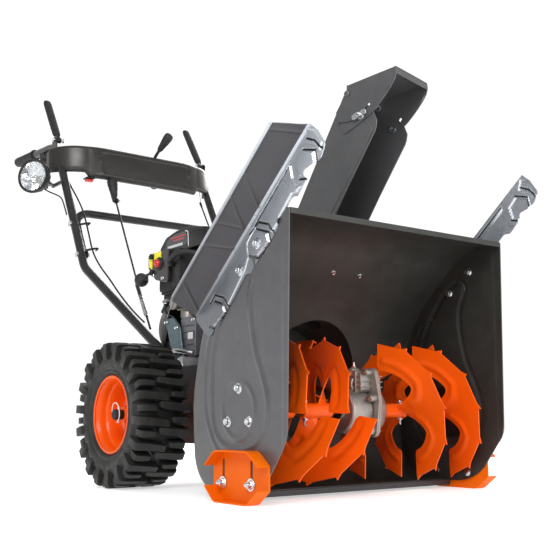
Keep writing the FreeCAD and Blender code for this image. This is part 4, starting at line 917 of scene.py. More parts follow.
def flange_height(q):
    h = plateau(q, RAISED_MIDDLE, 2.4, 4.2)
    h = np.maximum(h, plateau(q, RAISED_LOW, 2.4, 2.6))
    h = np.maximum(h, plateau(q, RAISED_TOP, 2.4, 4.2))
    for pad in HEX_PADS:
        h = np.maximum(h, plateau(q, pad, 2.4, 5.0))
    return h - groove_depth(q)


GROOVES = [[(-44, 656), (64, 567), (76, 556)], [(-100, 694), (-124, 684), (-144, 664)],
           [(96, 541), (64, 560), (24, 549), (10, 530)],
           [(245, 413), (227, 430), (186, 419), (170, 396)]]


def grown(loop, gap):
    """The same outline, moved outwards from its middle."""
    mid = np.mean(loop, axis=0)
    return [tuple(mid + (np.array(p) - mid) * (1 + gap / np.linalg.norm(np.array(p) - mid))) for p in loop]


def groove_depth(q):
    """Creases pressed in beside the steps."""
    deep = np.zeros(len(q))
    for line in GROOVES:
        deep = np.maximum(deep, bead(q, line, 6.0, 2.6))
    for pad in HEX_PADS:
        ring = grown(pad, 4.5)
        deep = np.maximum(deep, bead(q, ring[:5], 6.0, 2.6))
    return deep


def ramp_mask(q):
    """True where the sheet climbs to one of its raised areas, the faces that get the painted highlight."""
    mask = np.zeros(len(q), bool)
    for loop, height in [(RAISED_MIDDLE, 4.2), (RAISED_LOW, 2.6),
                         (RAISED_TOP, 4.2)] + [(pad, 5.0) for pad in HEX_PADS]:
        h = plateau(q, loop, 2.4, height)
        mask |= (h > 0.12 * height) & (h < 0.92 * height)
    return mask


def blade_frame(side):
    top, low = np.array([-108.0, 722.0]), np.array([302.0, 390.0])
    run = np.linalg.norm(low - top)
    along = np.array([0.0, *((low - top) / run)])
    across = np.array([side * 67, 18.9, 23.3])
    across /= np.linalg.norm(across)
    normal = np.cross(along, across) * side
    normal /= np.linalg.norm(normal)
    return np.array([side * 310.5, *top]), along, across, normal


PRESS_LINES = [[(46, 64), (24, 8)], [(158, 64), (211, 8)], [(219, 64), (272, 11), (283, 64)],
               [(345, 64), (327, 9)],
               [(455, 64), (509, 8)]]


def blade_height(q):
    h = np.zeros(len(q))
    for line in PRESS_LINES:
        h = np.maximum(h, bead(q, line, 7.5, 2.2))
    # The panel is sunk between two plain edge strips.
    s, w = q[:, 0], q[:, 1]
    inner = np.minimum(w - 5.0, 67.0 - w)
    sunk = np.clip(inner / 2.5, 0, 1) * np.clip((s - 14) / 4, 0, 1) * np.clip((516 - s) / 4, 0, 1)
    upper = np.clip((183 + (w - 35) * -0.9 - s) / 5, 0, 1)
    return h - 1.2 * sunk * (0.5 + 0.5 * upper)


def drift_cutter(name, side):
    flange = round_poly(FLANGE, FLANGE_RADII, 12)
    holes = [hole(y, z, 4.2) for y, z in CUTTER_BOLTS] + [hole(213, 384, 5.0), hole(-96, 645, 4.6)]
    a = pressed_sheet(flange, holes, plane_x(310.6, side), 2.3, flange_height, 1.9)
    corner, along, across, normal = blade_frame(side)

    def place(s, w, h):
        return corner + np.outer(s, along) + np.outer(w, across) + np.outer(h, normal)
    outline = round_poly([(0, 0.4), (527, 0.4), (512, 66), (500, 72.6), (34, 72.6), (8, 15)],
                         [1, 1, 6, 5, 8, 8], 12)
    slots = [round_poly([(s0, 9), (s1, 9), (s1, 15), (s0, 15)], 1.5, 20) for s0, s1 in ((133, 173),
        (338, 381))]
    b = pressed_sheet(outline, slots, place, 2.4, blade_height, 2.8)
    # The outer edge is turned forwards into a narrow lip.
    rows = []
    for w, h in ((73.0, 0.0), (73.0, 6.5), (72.6, 8.6), (71.4, 9.4), (70.2, 8.6), (70.0, 6.5), (70.0, 2.0)):
        rows.append([corner + along * s + across * w + normal * h for s in (34, 36, 260, 498, 500)])
    verts = np.array(rows).reshape(-1, 3)
    faces = [(i * 5 + j, i * 5 + j + 1, (i + 1) * 5 + j + 1, (i + 1) * 5 + j) for i in range(6)
             for j in range(4)]
    faces += [tuple(i * 5 for i in range(7)), tuple(i * 5 + 4 for i in reversed(range(7)))]
    lip = (verts, faces)
    # A fillet strip covers the fold.
    fold = []
    for t in range(7):
        ang = math.pi / 2 * t / 6
        fold.append((2.6 * math.cos(ang), 2.6 * math.sin(ang)))
    x_dir = np.array([side, 0.0, 0.0])
    down = np.cross(along, x_dir) * side
    if down @ across > 0:
        down = -down
    verts, faces = [], []
    for s in (1.0, 526.0):
        for p, q in fold:
            verts.append(corner + along * s + x_dir * (p - 0.05) + across * 0.2 + normal * (q - 0.05))
        verts.append(corner + along * s)
    faces = [(k, k + 1, 8 + k + 1, 8 + k) for k in range(7)] + [(7, 0, 8, 15), tuple(range(7, -1, -1)),
        tuple(range(8, 16))]
    fillet = (np.array(verts), faces)
    v, f = merge([a, b, lip, fillet])
    na, nb = len(a[1]), len(b[1])
    verts_b = np.array(v)
    centres = np.array([verts_b[list(face)].mean(0)[1:3] for face in f[:na]])
    # Faces in the pressed creases take the dark painted shade and faces climbing to the raised areas take the
    # bright painted highlight.
    crease_shade_faces = groove_depth(centres) > 0.9
    ramp_highlight_faces = ramp_mask(centres)
    ids = [2 if dark else 3 if bright else 0 for dark, bright in zip(crease_shade_faces, ramp_highlight_faces)]
    for face in f[na:na + nb]:
        centre = verts_b[list(face)].mean(0) - corner
        w = centre @ across
        ids.append(1 if 6.0 < w < 67.5 and len(face) == 3 else 0)
    ids += [0] * (len(f) - na - nb)
    piece("drift_cutter_pressed_" + name, v, f, [M["cutter"], M["blade"], M["groove"], M["ridge"]], "chassis",
          ["drift_cutter_" + name],
          "cutter_steel", smooth=38, ids=ids)


drift_cutter("right", -1)
drift_cutter("left", 1)


# ------------------------------------------------------------ augers

AUGER = (137.0, 183.0)
SPAN, TEETH = 176.0, 6


def blade_outer(angle):
    """Straight facets, each ending in a small saw tooth."""
    step = SPAN / TEETH
    u = ((angle + SPAN / 2) % step) / step
    chord = 152.0 * math.cos(math.radians(step / 2)) / math.cos(math.radians((min(u, 0.84) - 0.42) * step))
    if u < 0.80:
        return chord + 1.5
    if u < 0.97:
        return chord + 1.5 + (159.5 - chord - 1.5) * (u - 0.80) / 0.17
    return 159.5 - (159.5 - 149.0) * (u - 0.97) / 0.03


def blade_inner(angle):
    """Edge of the kidney shaped openings on each side of the web, and the blunt band ends."""
    a = abs(angle)
    low, band = 24.0, 91.0
    if a < low:
        return 13.0
    if a > 82:
        return band + 8.0 * ((a - 82) / 6.0) ** 2
    # A quarter ellipse runs from the hub out to the band with a rounded corner.
    t = (a - low) / 14.0
    if t < 1:
        return 20.0 + (band - 20.0) * math.sqrt(max(0.0, 1 - (1 - t) ** 2.6))
    return band


def blade_bead(q):
    """Pressed bead that follows the openings at a constant distance, q holding (angle, radius)."""
    h = np.zeros(len(q))
    x = q[:, 1] * np.cos(np.radians(q[:, 0]))
    y = q[:, 1] * np.sin(np.radians(q[:, 0]))
    flat = np.column_stack([x, y])
    for sign in (1, -1):
        line = []
        for a in np.linspace(16, 84, 40):
            r = blade_inner(sign * a) if a > 24 else 20.0
            line.append((a, r))
        pts = [(112 * math.cos(math.radians(a)), sign * 112 * math.sin(math.radians(a)))
               for a in np.linspace(80, 32, 20)]
        pts += [(97 * math.cos(math.radians(22.5)), sign * 97 * math.sin(math.radians(22.5))),
                (82 * math.cos(math.radians(17)), sign * 82 * math.sin(math.radians(17))),
                (62 * math.cos(math.radians(14.5)), sign * 62 * math.sin(math.radians(14.5)))]
        h = np.maximum(h, bead(flat, [tuple(p) for p in catmull(pts, 3)], 19, 4.6, 2.0))
    return h


def auger_blade(side, x_centre, centre_angle):
    outer = []
    step = SPAN / TEETH
    angles = sorted(set([round(v, 3) for k in range(TEETH) for v in
                         [-SPAN / 2 + k * step + 0.001, -SPAN / 2 + (k + 0.2) * step,
                          -SPAN / 2 + (k + 0.4) * step, -SPAN / 2 + (k + 0.6) * step,
                          -SPAN / 2 + (k + 0.8) * step, -SPAN / 2 + (k + 0.97) * step,
                          -SPAN / 2 + (k + 0.999) * step]]))
    for a in angles:
        r = blade_outer(a)
        outer.append((r * math.cos(math.radians(a)), r * math.sin(math.radians(a))))
    inner = []
    for a in np.concatenate([np.linspace(88, 24, 70), np.linspace(23.5, -23.5, 12),
                             np.linspace(-24, -88, 70)]):
        r = blade_inner(a)
        inner.append((r * math.cos(math.radians(a)), r * math.sin(math.radians(a))))
    loop = outer + inner

    def height(q):
        a = np.degrees(np.arctan2(q[:, 1], q[:, 0]))
        r = np.hypot(q[:, 0], q[:, 1])
        return blade_bead(np.column_stack([a, r]))

    def place(px, py, h):
        a = np.degrees(np.arctan2(py, px))
        r = np.hypot(px, py)
        theta = np.radians(centre_angle + a)
        x = side * (x_centre + 240.0 * a / 360.0) - side * (h - 1.4)
        return np.column_stack([x, AUGER[0] - r * np.cos(theta), AUGER[1] - r * np.sin(theta)])
    return pressed_sheet(loop, [], place, 2.8, height, 6.0, 5.0)


def auger(name, side, blades):
    parts = [auger_blade(side, x, a) for x, a in blades]
    for x0, x1 in ((72, 150), (176, 292)):
        ring = [(x0, 10.6), (x0, 15.4), (x0 + 0.6, 16), (x1 - 0.6, 16), (x1, 15.4), (x1, 10.6)]
        parts.append(lathe(ring, (0, *AUGER), (side, 0, 0), 40, closed=True))
    # A weld bead runs round the sleeve under each web.
    for xc, ang in blades:
        pts = []
        for a in np.linspace(-26, 26, 14):
            th = math.radians(ang + a)
            pts.append((side * (xc + 240 * a / 360), AUGER[0] - 16.2 * math.cos(th),
                        AUGER[1] - 16.2 * math.sin(th)))
        for off in (-2.2, 2.2):
            path = np.array(pts) + np.array([side * off, 0, 0])
            radii = 1.9 + 0.35 * np.sin(np.arange(len(pts) * 1.0) * 2.1)
            parts.append(sweep(path, radii, 8))
    v, f = merge(parts)
    piece("auger_pressed_" + name, v, f, M["orange"], "augers", ["auger_" + name], "auger_paint", smooth=34)


auger("right", -1, ((128, 95), (228, 95), (93, 275), (200, 275)))
auger("left", 1, ((128, 0), (240, 0), (93, 180), (205, 180)))


# ------------------------------------------------------------ gearbox

def gearbox():
    parts = []
    # Smooth drum round the shaft, with stepped necks.
    drum = [(-50, 10.6), (-50, 19.0), (-49, 20), (-45, 20), (-44, 21.5), (-44, 44.5), (-41.5, 47.4),
            (-38, 48), (10, 48), (12, 47.6),
            (14, 47.0), (14, 40)]
    parts.append(lathe(drum, (0, *AUGER), (1, 0, 0), 64))
    drum2 = [(26, 40), (26, 47.0), (28, 47.6), (30, 48), (52, 48), (56, 46.0), (58, 43.0), (58, 22),
             (59, 20.4), (65, 20), (66, 19),
             (66, 10.6)]
    parts.append(lathe(drum2, (0, *AUGER), (1, 0, 0), 64))
    flange = round_poly([(86, 276), (188, 276), (203, 205), (192, 124), (82, 124), (71, 205)],
                        [12, 12, 30, 16, 16, 30], 8)
    for x0, x1 in ((15.2, 19.7), (20.3, 24.8)):
        verts, faces = prism(flange, (x0, 0, 0), (0, 1, 0), (0, 0, 1), (1, 0, 0), x1 - x0)
        parts.append((verts, faces))
    # Tower over the drum: waisted bosses with ribs.
    tower = round_poly([(98, 222), (100, 262), (118, 272), (156, 272), (174, 262), (176, 222)],
                       [10, 10, 8, 8, 10, 10], 12)
    parts.append(prism(tower, (-13, 0, 0), (0, 1, 0), (0, 0, 1), (1, 0, 0), 28))
    parts.append(prism(tower, (25, 0, 0), (0, 1, 0), (0, 0, 1), (1, 0, 0), 20))
    tunnel = [(120, 14), (120, 20), (122, 22), (146, 22), (150, 22.6), (200, 22), (210, 21.4), (212, 20),
              (212, 10)]
    parts.append(lathe(tunnel, (0, 0, 240), (0, 1, 0), 40))
    for z in (234, 246, 258):
        parts.append(prism(round_poly([(96, z - 1.6), (178, z - 1.6), (178, z + 1.6), (96, z + 1.6)], 1.4,
                                      30),
                           (-17, 0, 0), (0, 1, 0), (0, 0, 1), (1, 0, 0), 66))
    for y in (112, 137, 162):
        parts.append(prism(round_poly([(y - 1.8, 216), (y + 1.8, 216), (y + 1.8, 270), (y - 1.8, 270)], 1.4,
                                      30),
                           (-19, 0, 0), (0, 1, 0), (0, 0, 1), (1, 0, 0), 70))
    top = lathe([(0, 15), (10, 14.5), (14, 12), (16, 9), (16.2, 0.05)], (0, 137, 262), (0, 0, 1), 32)
    parts.append(top)
    for y, z in ((100, 266), (174, 266), (86, 209), (188, 209), (94, 138), (180, 138)):
        parts.append(lathe([(0, 8.6), (9.5, 8.2), (10.4, 7.2), (10.4, 3.4)], (10.4, y, z), (-1, 0, 0), 24))
        parts.append(lathe([(0, 8.6), (4.0, 8.2), (4.6, 7.2), (4.6, 3.4)], (24.6, y, z), (1, 0, 0), 24))
        parts.append(lathe([(0, 8.6), (5.2, 8.6)], (10.2, y, z), (1, 0, 0), 24))
    v, f = merge(parts)
    piece("gearbox_casting", v, f, M["cast"], "chassis", ["gearbox_case"], "gearbox_aluminium", smooth=38,
          bevel=0.0008)
    bolts = []
    for y, z in ((100, 266), (174, 266), (86, 209), (188, 209), (94, 138), (180, 138)):
        bolts.append(hexagon_bolt((0.6, y, z), (-1, 0, 0), 6.6, 9.6, 5.4))
        bolts.append(hexagon_bolt((29.4, y, z), (1, 0, 0), 0, 9.6, 6.0, dimple=False))
        bolts.append(threaded_stud((35.0, y, z), (1, 0, 0), 3.0, 5.0))
    v, f = merge(bolts)
    piece("gearbox_flange_bolts", v, f, M["rust_bolt"], "chassis", ["gearbox_bolts"], "gearbox_screws",
          smooth=30)
    nipple = [hexagon_bolt((0, 137, 277.6), (0, 0, 1), 0, 9, 5.0, dimple=False),
              lathe([(0, 4.2), (2, 4.0), (3, 2.6), (5.0, 2.4), (6.2, 3.4), (7.6, 3.5), (9.2, 2.2),
                     (9.4, 0.05)], (0, 137, 282.4),
                    (0, 0, 1), 20)]
    piece("grease_nipple", *merge(nipple), M["zinc"], "chassis", smooth=30)
    seals = []
    for x, s in ((-50, -1), (66, 1)):
        seals.append(lathe([(0, 18.6), (0.8, 18.4), (0.8, 15.0), (0.2, 14.2), (0.2, 10.8)], (x, *AUGER),
                           (s, 0, 0), 40))
    piece("gearbox_seals", *merge(seals), M["grip"], "chassis", smooth=35)


gearbox()


def shear_bolt(x):
    parts = [hexagon_bolt((x, AUGER[0], AUGER[1] + 16.4), (0, 0, 1), 7.2, 10, 4.6),
             hexagon_bolt((x, AUGER[0], AUGER[1] - 16.6), (0, 0, -1), 0, 10, 5.0, dimple=False),
             threaded_stud((x, AUGER[0], AUGER[1] - 21.5), (0, 0, -1), 2.9, 11.0),
             lathe([(0, 2.8), (43, 2.8)], (x, AUGER[0], AUGER[1] - 21.5), (0, 0, 1), 12)]
    return merge(parts)


v, f = merge([shear_bolt(side * x) for side in (-1, 1) for x in (140, 284)])
piece("shear_bolts_threaded", v, f, M["zinc"], "augers", ["shear_bolts"], "shear_bolt_zinc", smooth=30)


# ------------------------------------------------------------ flange bolts, skid studs

FLANGE_LIFT = {(62, 515): 5.0, (127, 469): 2.6}


def side_bolts(side):
    parts = []
    for (y, z), lift in FLANGE_LIFT.items():
        parts.append(hexagon_bolt((side * (312.9 + lift), y, z), (side, 0, 0), 11.5, 13, 6.5, turn=0.3))
        parts.append(hexagon_bolt((side * 307.4, y, z), (-side, 0, 0), 10, 13, 6.5, dimple=False))
    for y, z in BEARING_BOLTS:
        parts.append(hexagon_bolt((side * 310.4, y, z), (side, 0, 0), 11.5, 13, 6.5, turn=y * 0.01))
    return parts


bolts = side_bolts(-1) + side_bolts(1)
for x in (-35, 45):
    bolts.append(hexagon_bolt((x, 164.5, 496.5), (0, -0.652, -0.758), 7.6, 9, 4))
piece("housing_flange_bolts", *merge(bolts), M["zinc"], "chassis", ["housing_bolts"], "bolt_zinc", smooth=30)

studs = []
for side in (-1, 1):
    for y, z in SKID_STUDS:
        base = side * 314.4
        studs.append(washer((base, y, z), (side, 0, 0), 4.2, 13.0, 2.0))
        studs.append(hexagon_bolt((base + side * 2, y, z), (side, 0, 0), 9.4, 13, 6.6, dimple=False))
        studs.append(threaded_stud((base + side * 8, y, z), (side, 0, 0), 3.9, 8.6))
        studs.append(lathe([(0, 9.2), (1.2, 9.2), (2.6, 6.8), (3.0, 0.05)], (side * 307.3, y, z),
                           (-side, 0, 0), 24))
piece("skid_stud_nuts", *merge(studs), M["zinc"], "chassis", ["skid_nuts"], "nut_zinc", smooth=30)


# ------------------------------------------------------------ dash panel

def panel():
    """Moulded shell, lofted across X from front-face stations with rounded edges and a sunk label frame."""
    def front(x):
        a = abs(x)
        if a <= 134:
            return 1138.5
        if a <= 196:
            t = (a - 134) / 62
            return 1138.5 + 13.5 * t * t
        t = (a - 196) / 94
        return 1152 + 22 * t + 44 * t ** 2.0 + 14 * t ** 5

    def back(x):
        a = abs(x)
        return 1226 if a < 160 else 1226 + (a - 160) * 0.62

    def bottom(x):
        a = abs(x)
        t = np.clip((a - 186) / 16, 0, 1)
        return 908.5 + 17.0 * t * t * (3 - 2 * t)

    def top(x):
        return 1011.5 - 6.0 * np.clip((abs(x) - 220) / 70, 0, 1) ** 2
    xs = np.concatenate([np.linspace(-291, -262, 8), np.linspace(-256, -176, 21), np.linspace(-168, 168, 61),
                         np.linspace(176, 256, 21), np.linspace(262, 291, 8)])
    corners = 6
    rows = []
    frame = round_poly([(-150, 926), (-160, 990), (-128, 998), (150, 998), (160, 990), (150, 930),
                        (138, 922), (-138, 922)],
                       [14, 20, 20, 10, 10, 12, 8, 8], 10)
    for x in xs:
        y0, y1, z0, z1 = front(x), back(x), float(bottom(x)), top(x)
        prof = []
        r = 15.0
        for k in range(corners + 1):
            t = math.pi / 2 * k / corners
            prof.append((y0 + r * (1 - math.cos(t)) * 0.9, z0 + r * (1 - math.sin(t)), 0))
        prof = prof[::-1]
        m = 26
        zs = np.linspace(z0 + r, z1 - r * 0.9, m)
        for z in zs[1:-1]:
            prof.append((y0 + 5.0 * ((z - z0 - r) / (z1 - z0 - 2 * r)) ** 2, z, 1))
        y_top = y0 + 5.0
        for k in range(corners + 1):
            t = math.pi / 2 * k / corners
            prof.append((y_top + r * (1 - math.cos(t)), z1 - r * 0.9 * (1 - math.sin(t)), 0))
        prof.append(((y_top + y1) / 2, z1, 0))
        for k in range(4):
            t = math.pi / 2 * k / 3
            prof.append((y1 - 6 + 6 * math.sin(t), z1 - 6 * (1 - math.cos(t)), 0))
        prof.append((y1, max(z0 + 30, z1 - 40), 0))
        q = np.array([(x, z) for _, z, _ in prof])
        sunk = plateau(q, frame, 3.0, 2.6)
        ridge = bead(q, frame + [frame[0]], 7.0, 1.5)
        row = [(x, y + (s - g if flag else 0), z) for (y, z, flag), s, g in zip(prof, sunk, ridge)]
        rows.append(row)
    n = len(rows[0])
    verts = [p for row in rows for p in row]
    faces = [(i * n + k, (i + 1) * n + k, (i + 1) * n + k + 1, i * n + k + 1) for i in range(len(rows) - 1)
             for k in range(n - 1)]
    obj = piece("dash_panel_moulded", verts, faces, M["plastic"], "chassis", ["dash_panel"],
                "panel_plastic", smooth=40)
    thick = obj.modifiers.new("wall", "SOLIDIFY")
    thick.thickness = 0.003
    thick.offset = -1 if obj.data.polygons[0].normal.y < 0 else 1
    return obj


panel()
ends = []
for side in (-1, 1):
    outline = round_poly([(1240, 930), (1266, 930), (1266, 1000), (1236, 1004)], [5, 5, 12, 12], 12)
    ends.append(prism(outline, (side * 284 - 2, 0, 0), (0, 1, 0), (0, 0, 1), (1, 0, 0), 4))
piece("dash_panel_ends", *merge(ends), M["plastic"], "chassis", smooth=35, bevel=0.0008)


# ------------------------------------------------------------ clutch levers

def lever(name, side):
    """Foam sleeve with a domed end over a flat bar on its pivot."""
    y, z = 1240.0, 1036.0
    tilt = math.radians(56)
    along = np.array([0, math.cos(tilt), math.sin(tilt)])
    over = np.array([0, -math.sin(tilt), math.cos(tilt)])
    o = np.array([side * 260.0, y, z])
    stations = [(22, 0.3), (23, 8.5), (25, 11.2), (30, 12.4), (60, 12.9), (110, 13.1), (160, 13.0),
                (176, 12.8), (184, 12.0),
                (189, 10.0), (192, 6.5), (193, 0.3)]
    n = 28
    verts, faces = [], []
    for s, r in stations:
        for k in range(n):
            t = 2 * math.pi * k / n
            c, d = math.cos(t), math.sin(t)
            px = r * math.copysign(abs(c) ** 0.75, c)
            pz = r * 0.60 * math.copysign(abs(d) ** 0.75, d)
            verts.append(o + np.array([1.0, 0, 0]) * px + along * s + over * (pz - 0.5))
    for i in range(len(stations) - 1):
        for k in range(n):
            faces.append((i * n + k, i * n + (k + 1) % n, (i + 1) * n + (k + 1) % n, (i + 1) * n + k))
    piece("clutch_lever_foam_" + name, verts, faces, M["foam"], "lever_" + name, ["clutch_lever_" + name],
          "lever_grip",
          smooth=50)
    bar = round_poly([(-9, -6), (26, -6), (26, 4), (-9, 4)], [5, 1, 1, 5], 15)
    v, f = prism(bar, o - np.array([7.0, 0, 0]), along, over, (1, 0, 0), 14)
    ring = lathe([(-7, 4.2), (-7, 9), (7, 9), (7, 4.2)], o, (1, 0, 0), 32, closed=True)
    piece("clutch_lever_bar_" + name, *merge([(v, f), ring]), M["black_steel"], "lever_" + name, smooth=35,
          bevel=0.0008)


lever("right", -1)
lever("left", 1)


# ------------------------------------------------------------ handle grips

def grip(side):
    end = np.array([side * 260.0, 1578.0, 1042.0])
    axis = np.array([0, 327.0, 20.0])
    axis /= np.linalg.norm(axis)
    start = end - axis * 150
    profile = [(0, 12.7), (0, 17.2), (1, 18), (5, 18), (6.5, 16.6), (8, 15.4)]
    for k in range(16):
        s = 12 + k * 6.6
        profile += [(s, 15.2), (s + 1.6, 16.1), (s + 4.2, 16.1), (s + 5.8, 15.2)]
    profile += [(120, 15.4), (146, 16.4), (151, 16.0), (153, 13.4), (153, 0.05)]
    return lathe(profile, start, axis, 40)


piece("handle_grips_ribbed", *merge([grip(-1), grip(1)]), M["grip"], "chassis", ["handle_grips"],
      "grip_rubber", smooth=30)


# ------------------------------------------------------------ gear lever

def gear_lever():
    y, z = 1152.0, 918.0
    base = np.array([48.0, 1144.0, 1038.0])
    axis = np.array([16.0, -38.0, 44.0])
    axis /= np.linalg.norm(axis)
    knob = [(-5, 5.6), (-4, 7.4), (0, 8.6), (6, 9.4), (18, 11.2), (30, 13.2), (42, 14.7), (50, 15.0),
            (56, 13.8), (60, 10.6),
            (62, 5.5), (62.4, 0.05)]
    parts = [lathe(knob, base, axis, 40)]
    for k in range(5):
        s = 4 + k * 7.5
        r = 9.3 + s * 0.105
        parts.append(lathe([(s - 1.2, r), (s, r + 0.9), (s + 1.2, r)], base, axis, 40))
    piece("gear_knob", *merge(parts), M["grip"], "gear_control", ["gear_lever"], "gear_lever_plastic",
          smooth=40)
    steel = [sweep(catmull([(41, y, z), (41, 1163, 985), (41, 1167, 1010), (44, 1158, 1024),
                            (48, 1144, 1038)], 6), 5.0, 16),
             lathe([(0, 6), (178, 6)], (-126, y, z), (1, 0, 0), 24)]
    piece("gear_stem", *merge(steel), M["black_steel"], "gear_control", smooth=40)
    arm = round_poly([(y + 8, z + 8), (y - 8, z + 8), (y - 8, z - 16), (1108, 840), (1120, 828),
                      (y + 8, z - 22)],
                     [7, 7, 8, 8, 8, 8], 12)
    v, f = prism(arm, (-126, 0, 0), (0, 1, 0), (0, 0, 1), (1, 0, 0), 6)
    boot = [(0, 15), (3, 16.4), (12, 15.4), (16, 16.0), (26, 13.8), (30, 14.4), (40, 11.6), (52, 10.4),
            (60, 8.6), (66, 5.0)]
    bv, bf = lathe(boot, (-118, 1147, 908), (0.0, -0.36, -0.93), 28)
    piece("gear_arm", v, f, M["plastic_matt"], "gear_control", smooth=35, bevel=0.0012)
    piece("gear_arm_boot", bv, bf, M["grip"], "gear_control", smooth=45)
    pin = hexagon_bolt((-110, 1118, 838), (1, 0, 0), 6.5, 9, 4.5)
    piece("gear_arm_bolt", *pin, M["zinc"], "gear_control", smooth=30)


gear_lever()


# ------------------------------------------------------------ lamp

def lamp():
    c = np.array([-352.0, 1188.0, 893.0])
    axis = np.array([-0.84, -0.54, 0.0])
    axis /= np.linalg.norm(axis)
    shell = [(-41, 0.05), (-41, 12), (-40, 22), (-36, 29), (-26, 39), (-12, 47), (-4, 50), (0, 51.0),
             (2, 52), (10.5, 52), (12, 51.0),
             (12.2, 48.5), (11.0, 47.0), (9.0, 46.6), (8.8, 44.8), (0, 44.6)]
    parts = [lathe(shell, c, axis, 72)]
    for k in range(10):
        t = 2 * math.pi * k / 10
        a, b, _ = basis(axis)
        d = a * math.cos(t) + b * math.sin(t)
        parts.append(sweep([c - axis * 34 + d * 31.5, c - axis * 20 + d * 43, c - axis * 6 + d * 49.6],
                           [1.4, 1.6, 0.9], 8))
    parts.append(sweep([c - axis * 38, (-322, 1222, 893), (-316, 1228, 893)], [9, 8.4, 8], 20))
    parts.append(lathe([(0, 10.0), (1, 11), (8, 11), (9, 10), (9, 0.05)], (-322, 1228, 893), (1, 0, 0), 28))
    piece("lamp_housing", *merge(parts), M["plastic_matt"], "lamp", ["headlight"], smooth=35)
    # The reflector is a dish of flat facets in rings round the bulb.
    a, b, _ = basis(axis)
    rings, cells = [(9.0, -27.0), (17.0, -24.5), (25.0, -19.0), (32.0, -11.5), (38.5, -3.0), (44.4, 7.0)], 18
    verts, faces = [], []
    for i, (r, s) in enumerate(rings):
        for k in range(cells):
            t = 2 * math.pi * (k + 0.5 * (i % 2)) / cells
            verts.append(c + axis * s + (a * math.cos(t) + b * math.sin(t)) * r)
    for i in range(len(rings) - 1):
        for k in range(cells):
            p, q = i * cells, (i + 1) * cells
            if i % 2 == 0:
                faces += [(p + k, p + (k + 1) % cells, q + k), (p + (k + 1) % cells, q + (k + 1) % cells,
                    q + k)]
            else:
                faces += [(p + k, q + (k + 1) % cells, q + k), (p + k, p + (k + 1) % cells,
                    q + (k + 1) % cells)]
    base = len(verts)
    centre_cup = [c + axis * -27]
    verts += centre_cup
    faces += [(base, (k + 1) % cells, k) for k in range(cells)]
    piece("lamp_reflector", verts, faces, M["chrome"], "lamp", slot="lamp_chrome", smooth=0, bevel=0.0003)
    bulb = [(-26, 5), (-16, 5), (-15, 6.5), (-9, 7), (-4, 6), (-1, 3.4), (0, 0.05)]
    piece("lamp_bulb", *lathe(bulb, c, axis, 24), M["zinc_warm"], "lamp", smooth=40)
    lens = [(8.2, 46.4), (9.2, 46.2), (10.4, 40), (11.6, 28), (12.2, 14), (12.4, 0.05)]
    inner = [(9.9, 0.05), (9.7, 14), (9.1, 28), (7.9, 40), (7.0, 45.6)]
    piece("lamp_glass", *lathe(lens + inner, c, axis, 64), M["glass"], "lamp", smooth=50)


lamp()
bolt_parts = [hexagon_bolt((-297, 1228, 893), (1, 0, 0), 9, 12, 7), threaded_stud((-290, 1228, 893),
    (1, 0, 0), 3.6, 8.0)]
piece("lamp_bracket_bolt", *merge(bolt_parts), M["zinc"], "chassis", smooth=30)


# ------------------------------------------------------------ lamp switch

def rocker():
    shape = round_poly([(1155, 899), (1166, 896.8), (1178, 899), (1178, 904), (1166, 906.5), (1155, 904)],
                       [2, 8, 2, 2, 4, 2], 12)
    v, f = prism(shape, (-196, 0, 0), (0, 1, 0), (0, 0, 1), (1, 0, 0), 20)
    piece("lamp_switch_rocker", v, f, M["red"], "switch", ["lamp_switch"], "switch_plastic", smooth=35,
          bevel=0.0014,
          segments=3)
    surround = round_poly([(-200, 1151), (-172, 1151), (-172, 1182), (-200, 1182)], 3, 15)
    v, f = prism(surround, (0, 0, 906.5), (1, 0, 0), (0, 1, 0), (0, 0, 1), 3.5)
    piece("lamp_switch_frame", v, f, M["plastic_matt"], "chassis", smooth=35, bevel=0.0008)


rocker()


# ------------------------------------------------------------ cables

def cable(name, points, diameter):
    curve = bpy.data.curves.new(name, "CURVE")
    curve.dimensions = "3D"
    spline = curve.splines.new("NURBS")
    metres = put(points)
    spline.points.add(len(metres) - 1)
    for p, q in zip(spline.points, metres):
        p.co = (*q, 1)
    spline.order_u = 3
    spline.use_endpoint_u = True
    spline.resolution_u = 12
    curve.bevel_depth = diameter / 2
    curve.bevel_resolution = 4
    curve.use_fill_caps = True
    curve.materials.append(M["wire"])
    obj = link(bpy.data.objects.new(name, curve))
    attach(obj, "chassis")
    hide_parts("cables")
    return obj


CLUTCH_RUN = [(238, 1198, 892), (230, 1160, 848), (224, 1114, 788), (226, 1068, 712), (232, 1024, 648),
              (236, 960, 596),
              (234, 905, 556), (226, 846, 500), (208, 798, 450), (192, 772, 424)]
LAMP_RUN = [(-320, 1228, 878), (-300, 1222, 863), (-279, 1172, 841), (-277, 1147, 824), (-277, 1116, 772)]
cable("lamp_cable", LAMP_RUN, 0.0044)
for name, side in (("right", -1), ("left", 1)):
    cable("clutch_cable_" + name, [(side * x, y, z) for x, y, z in CLUTCH_RUN], 0.0052)

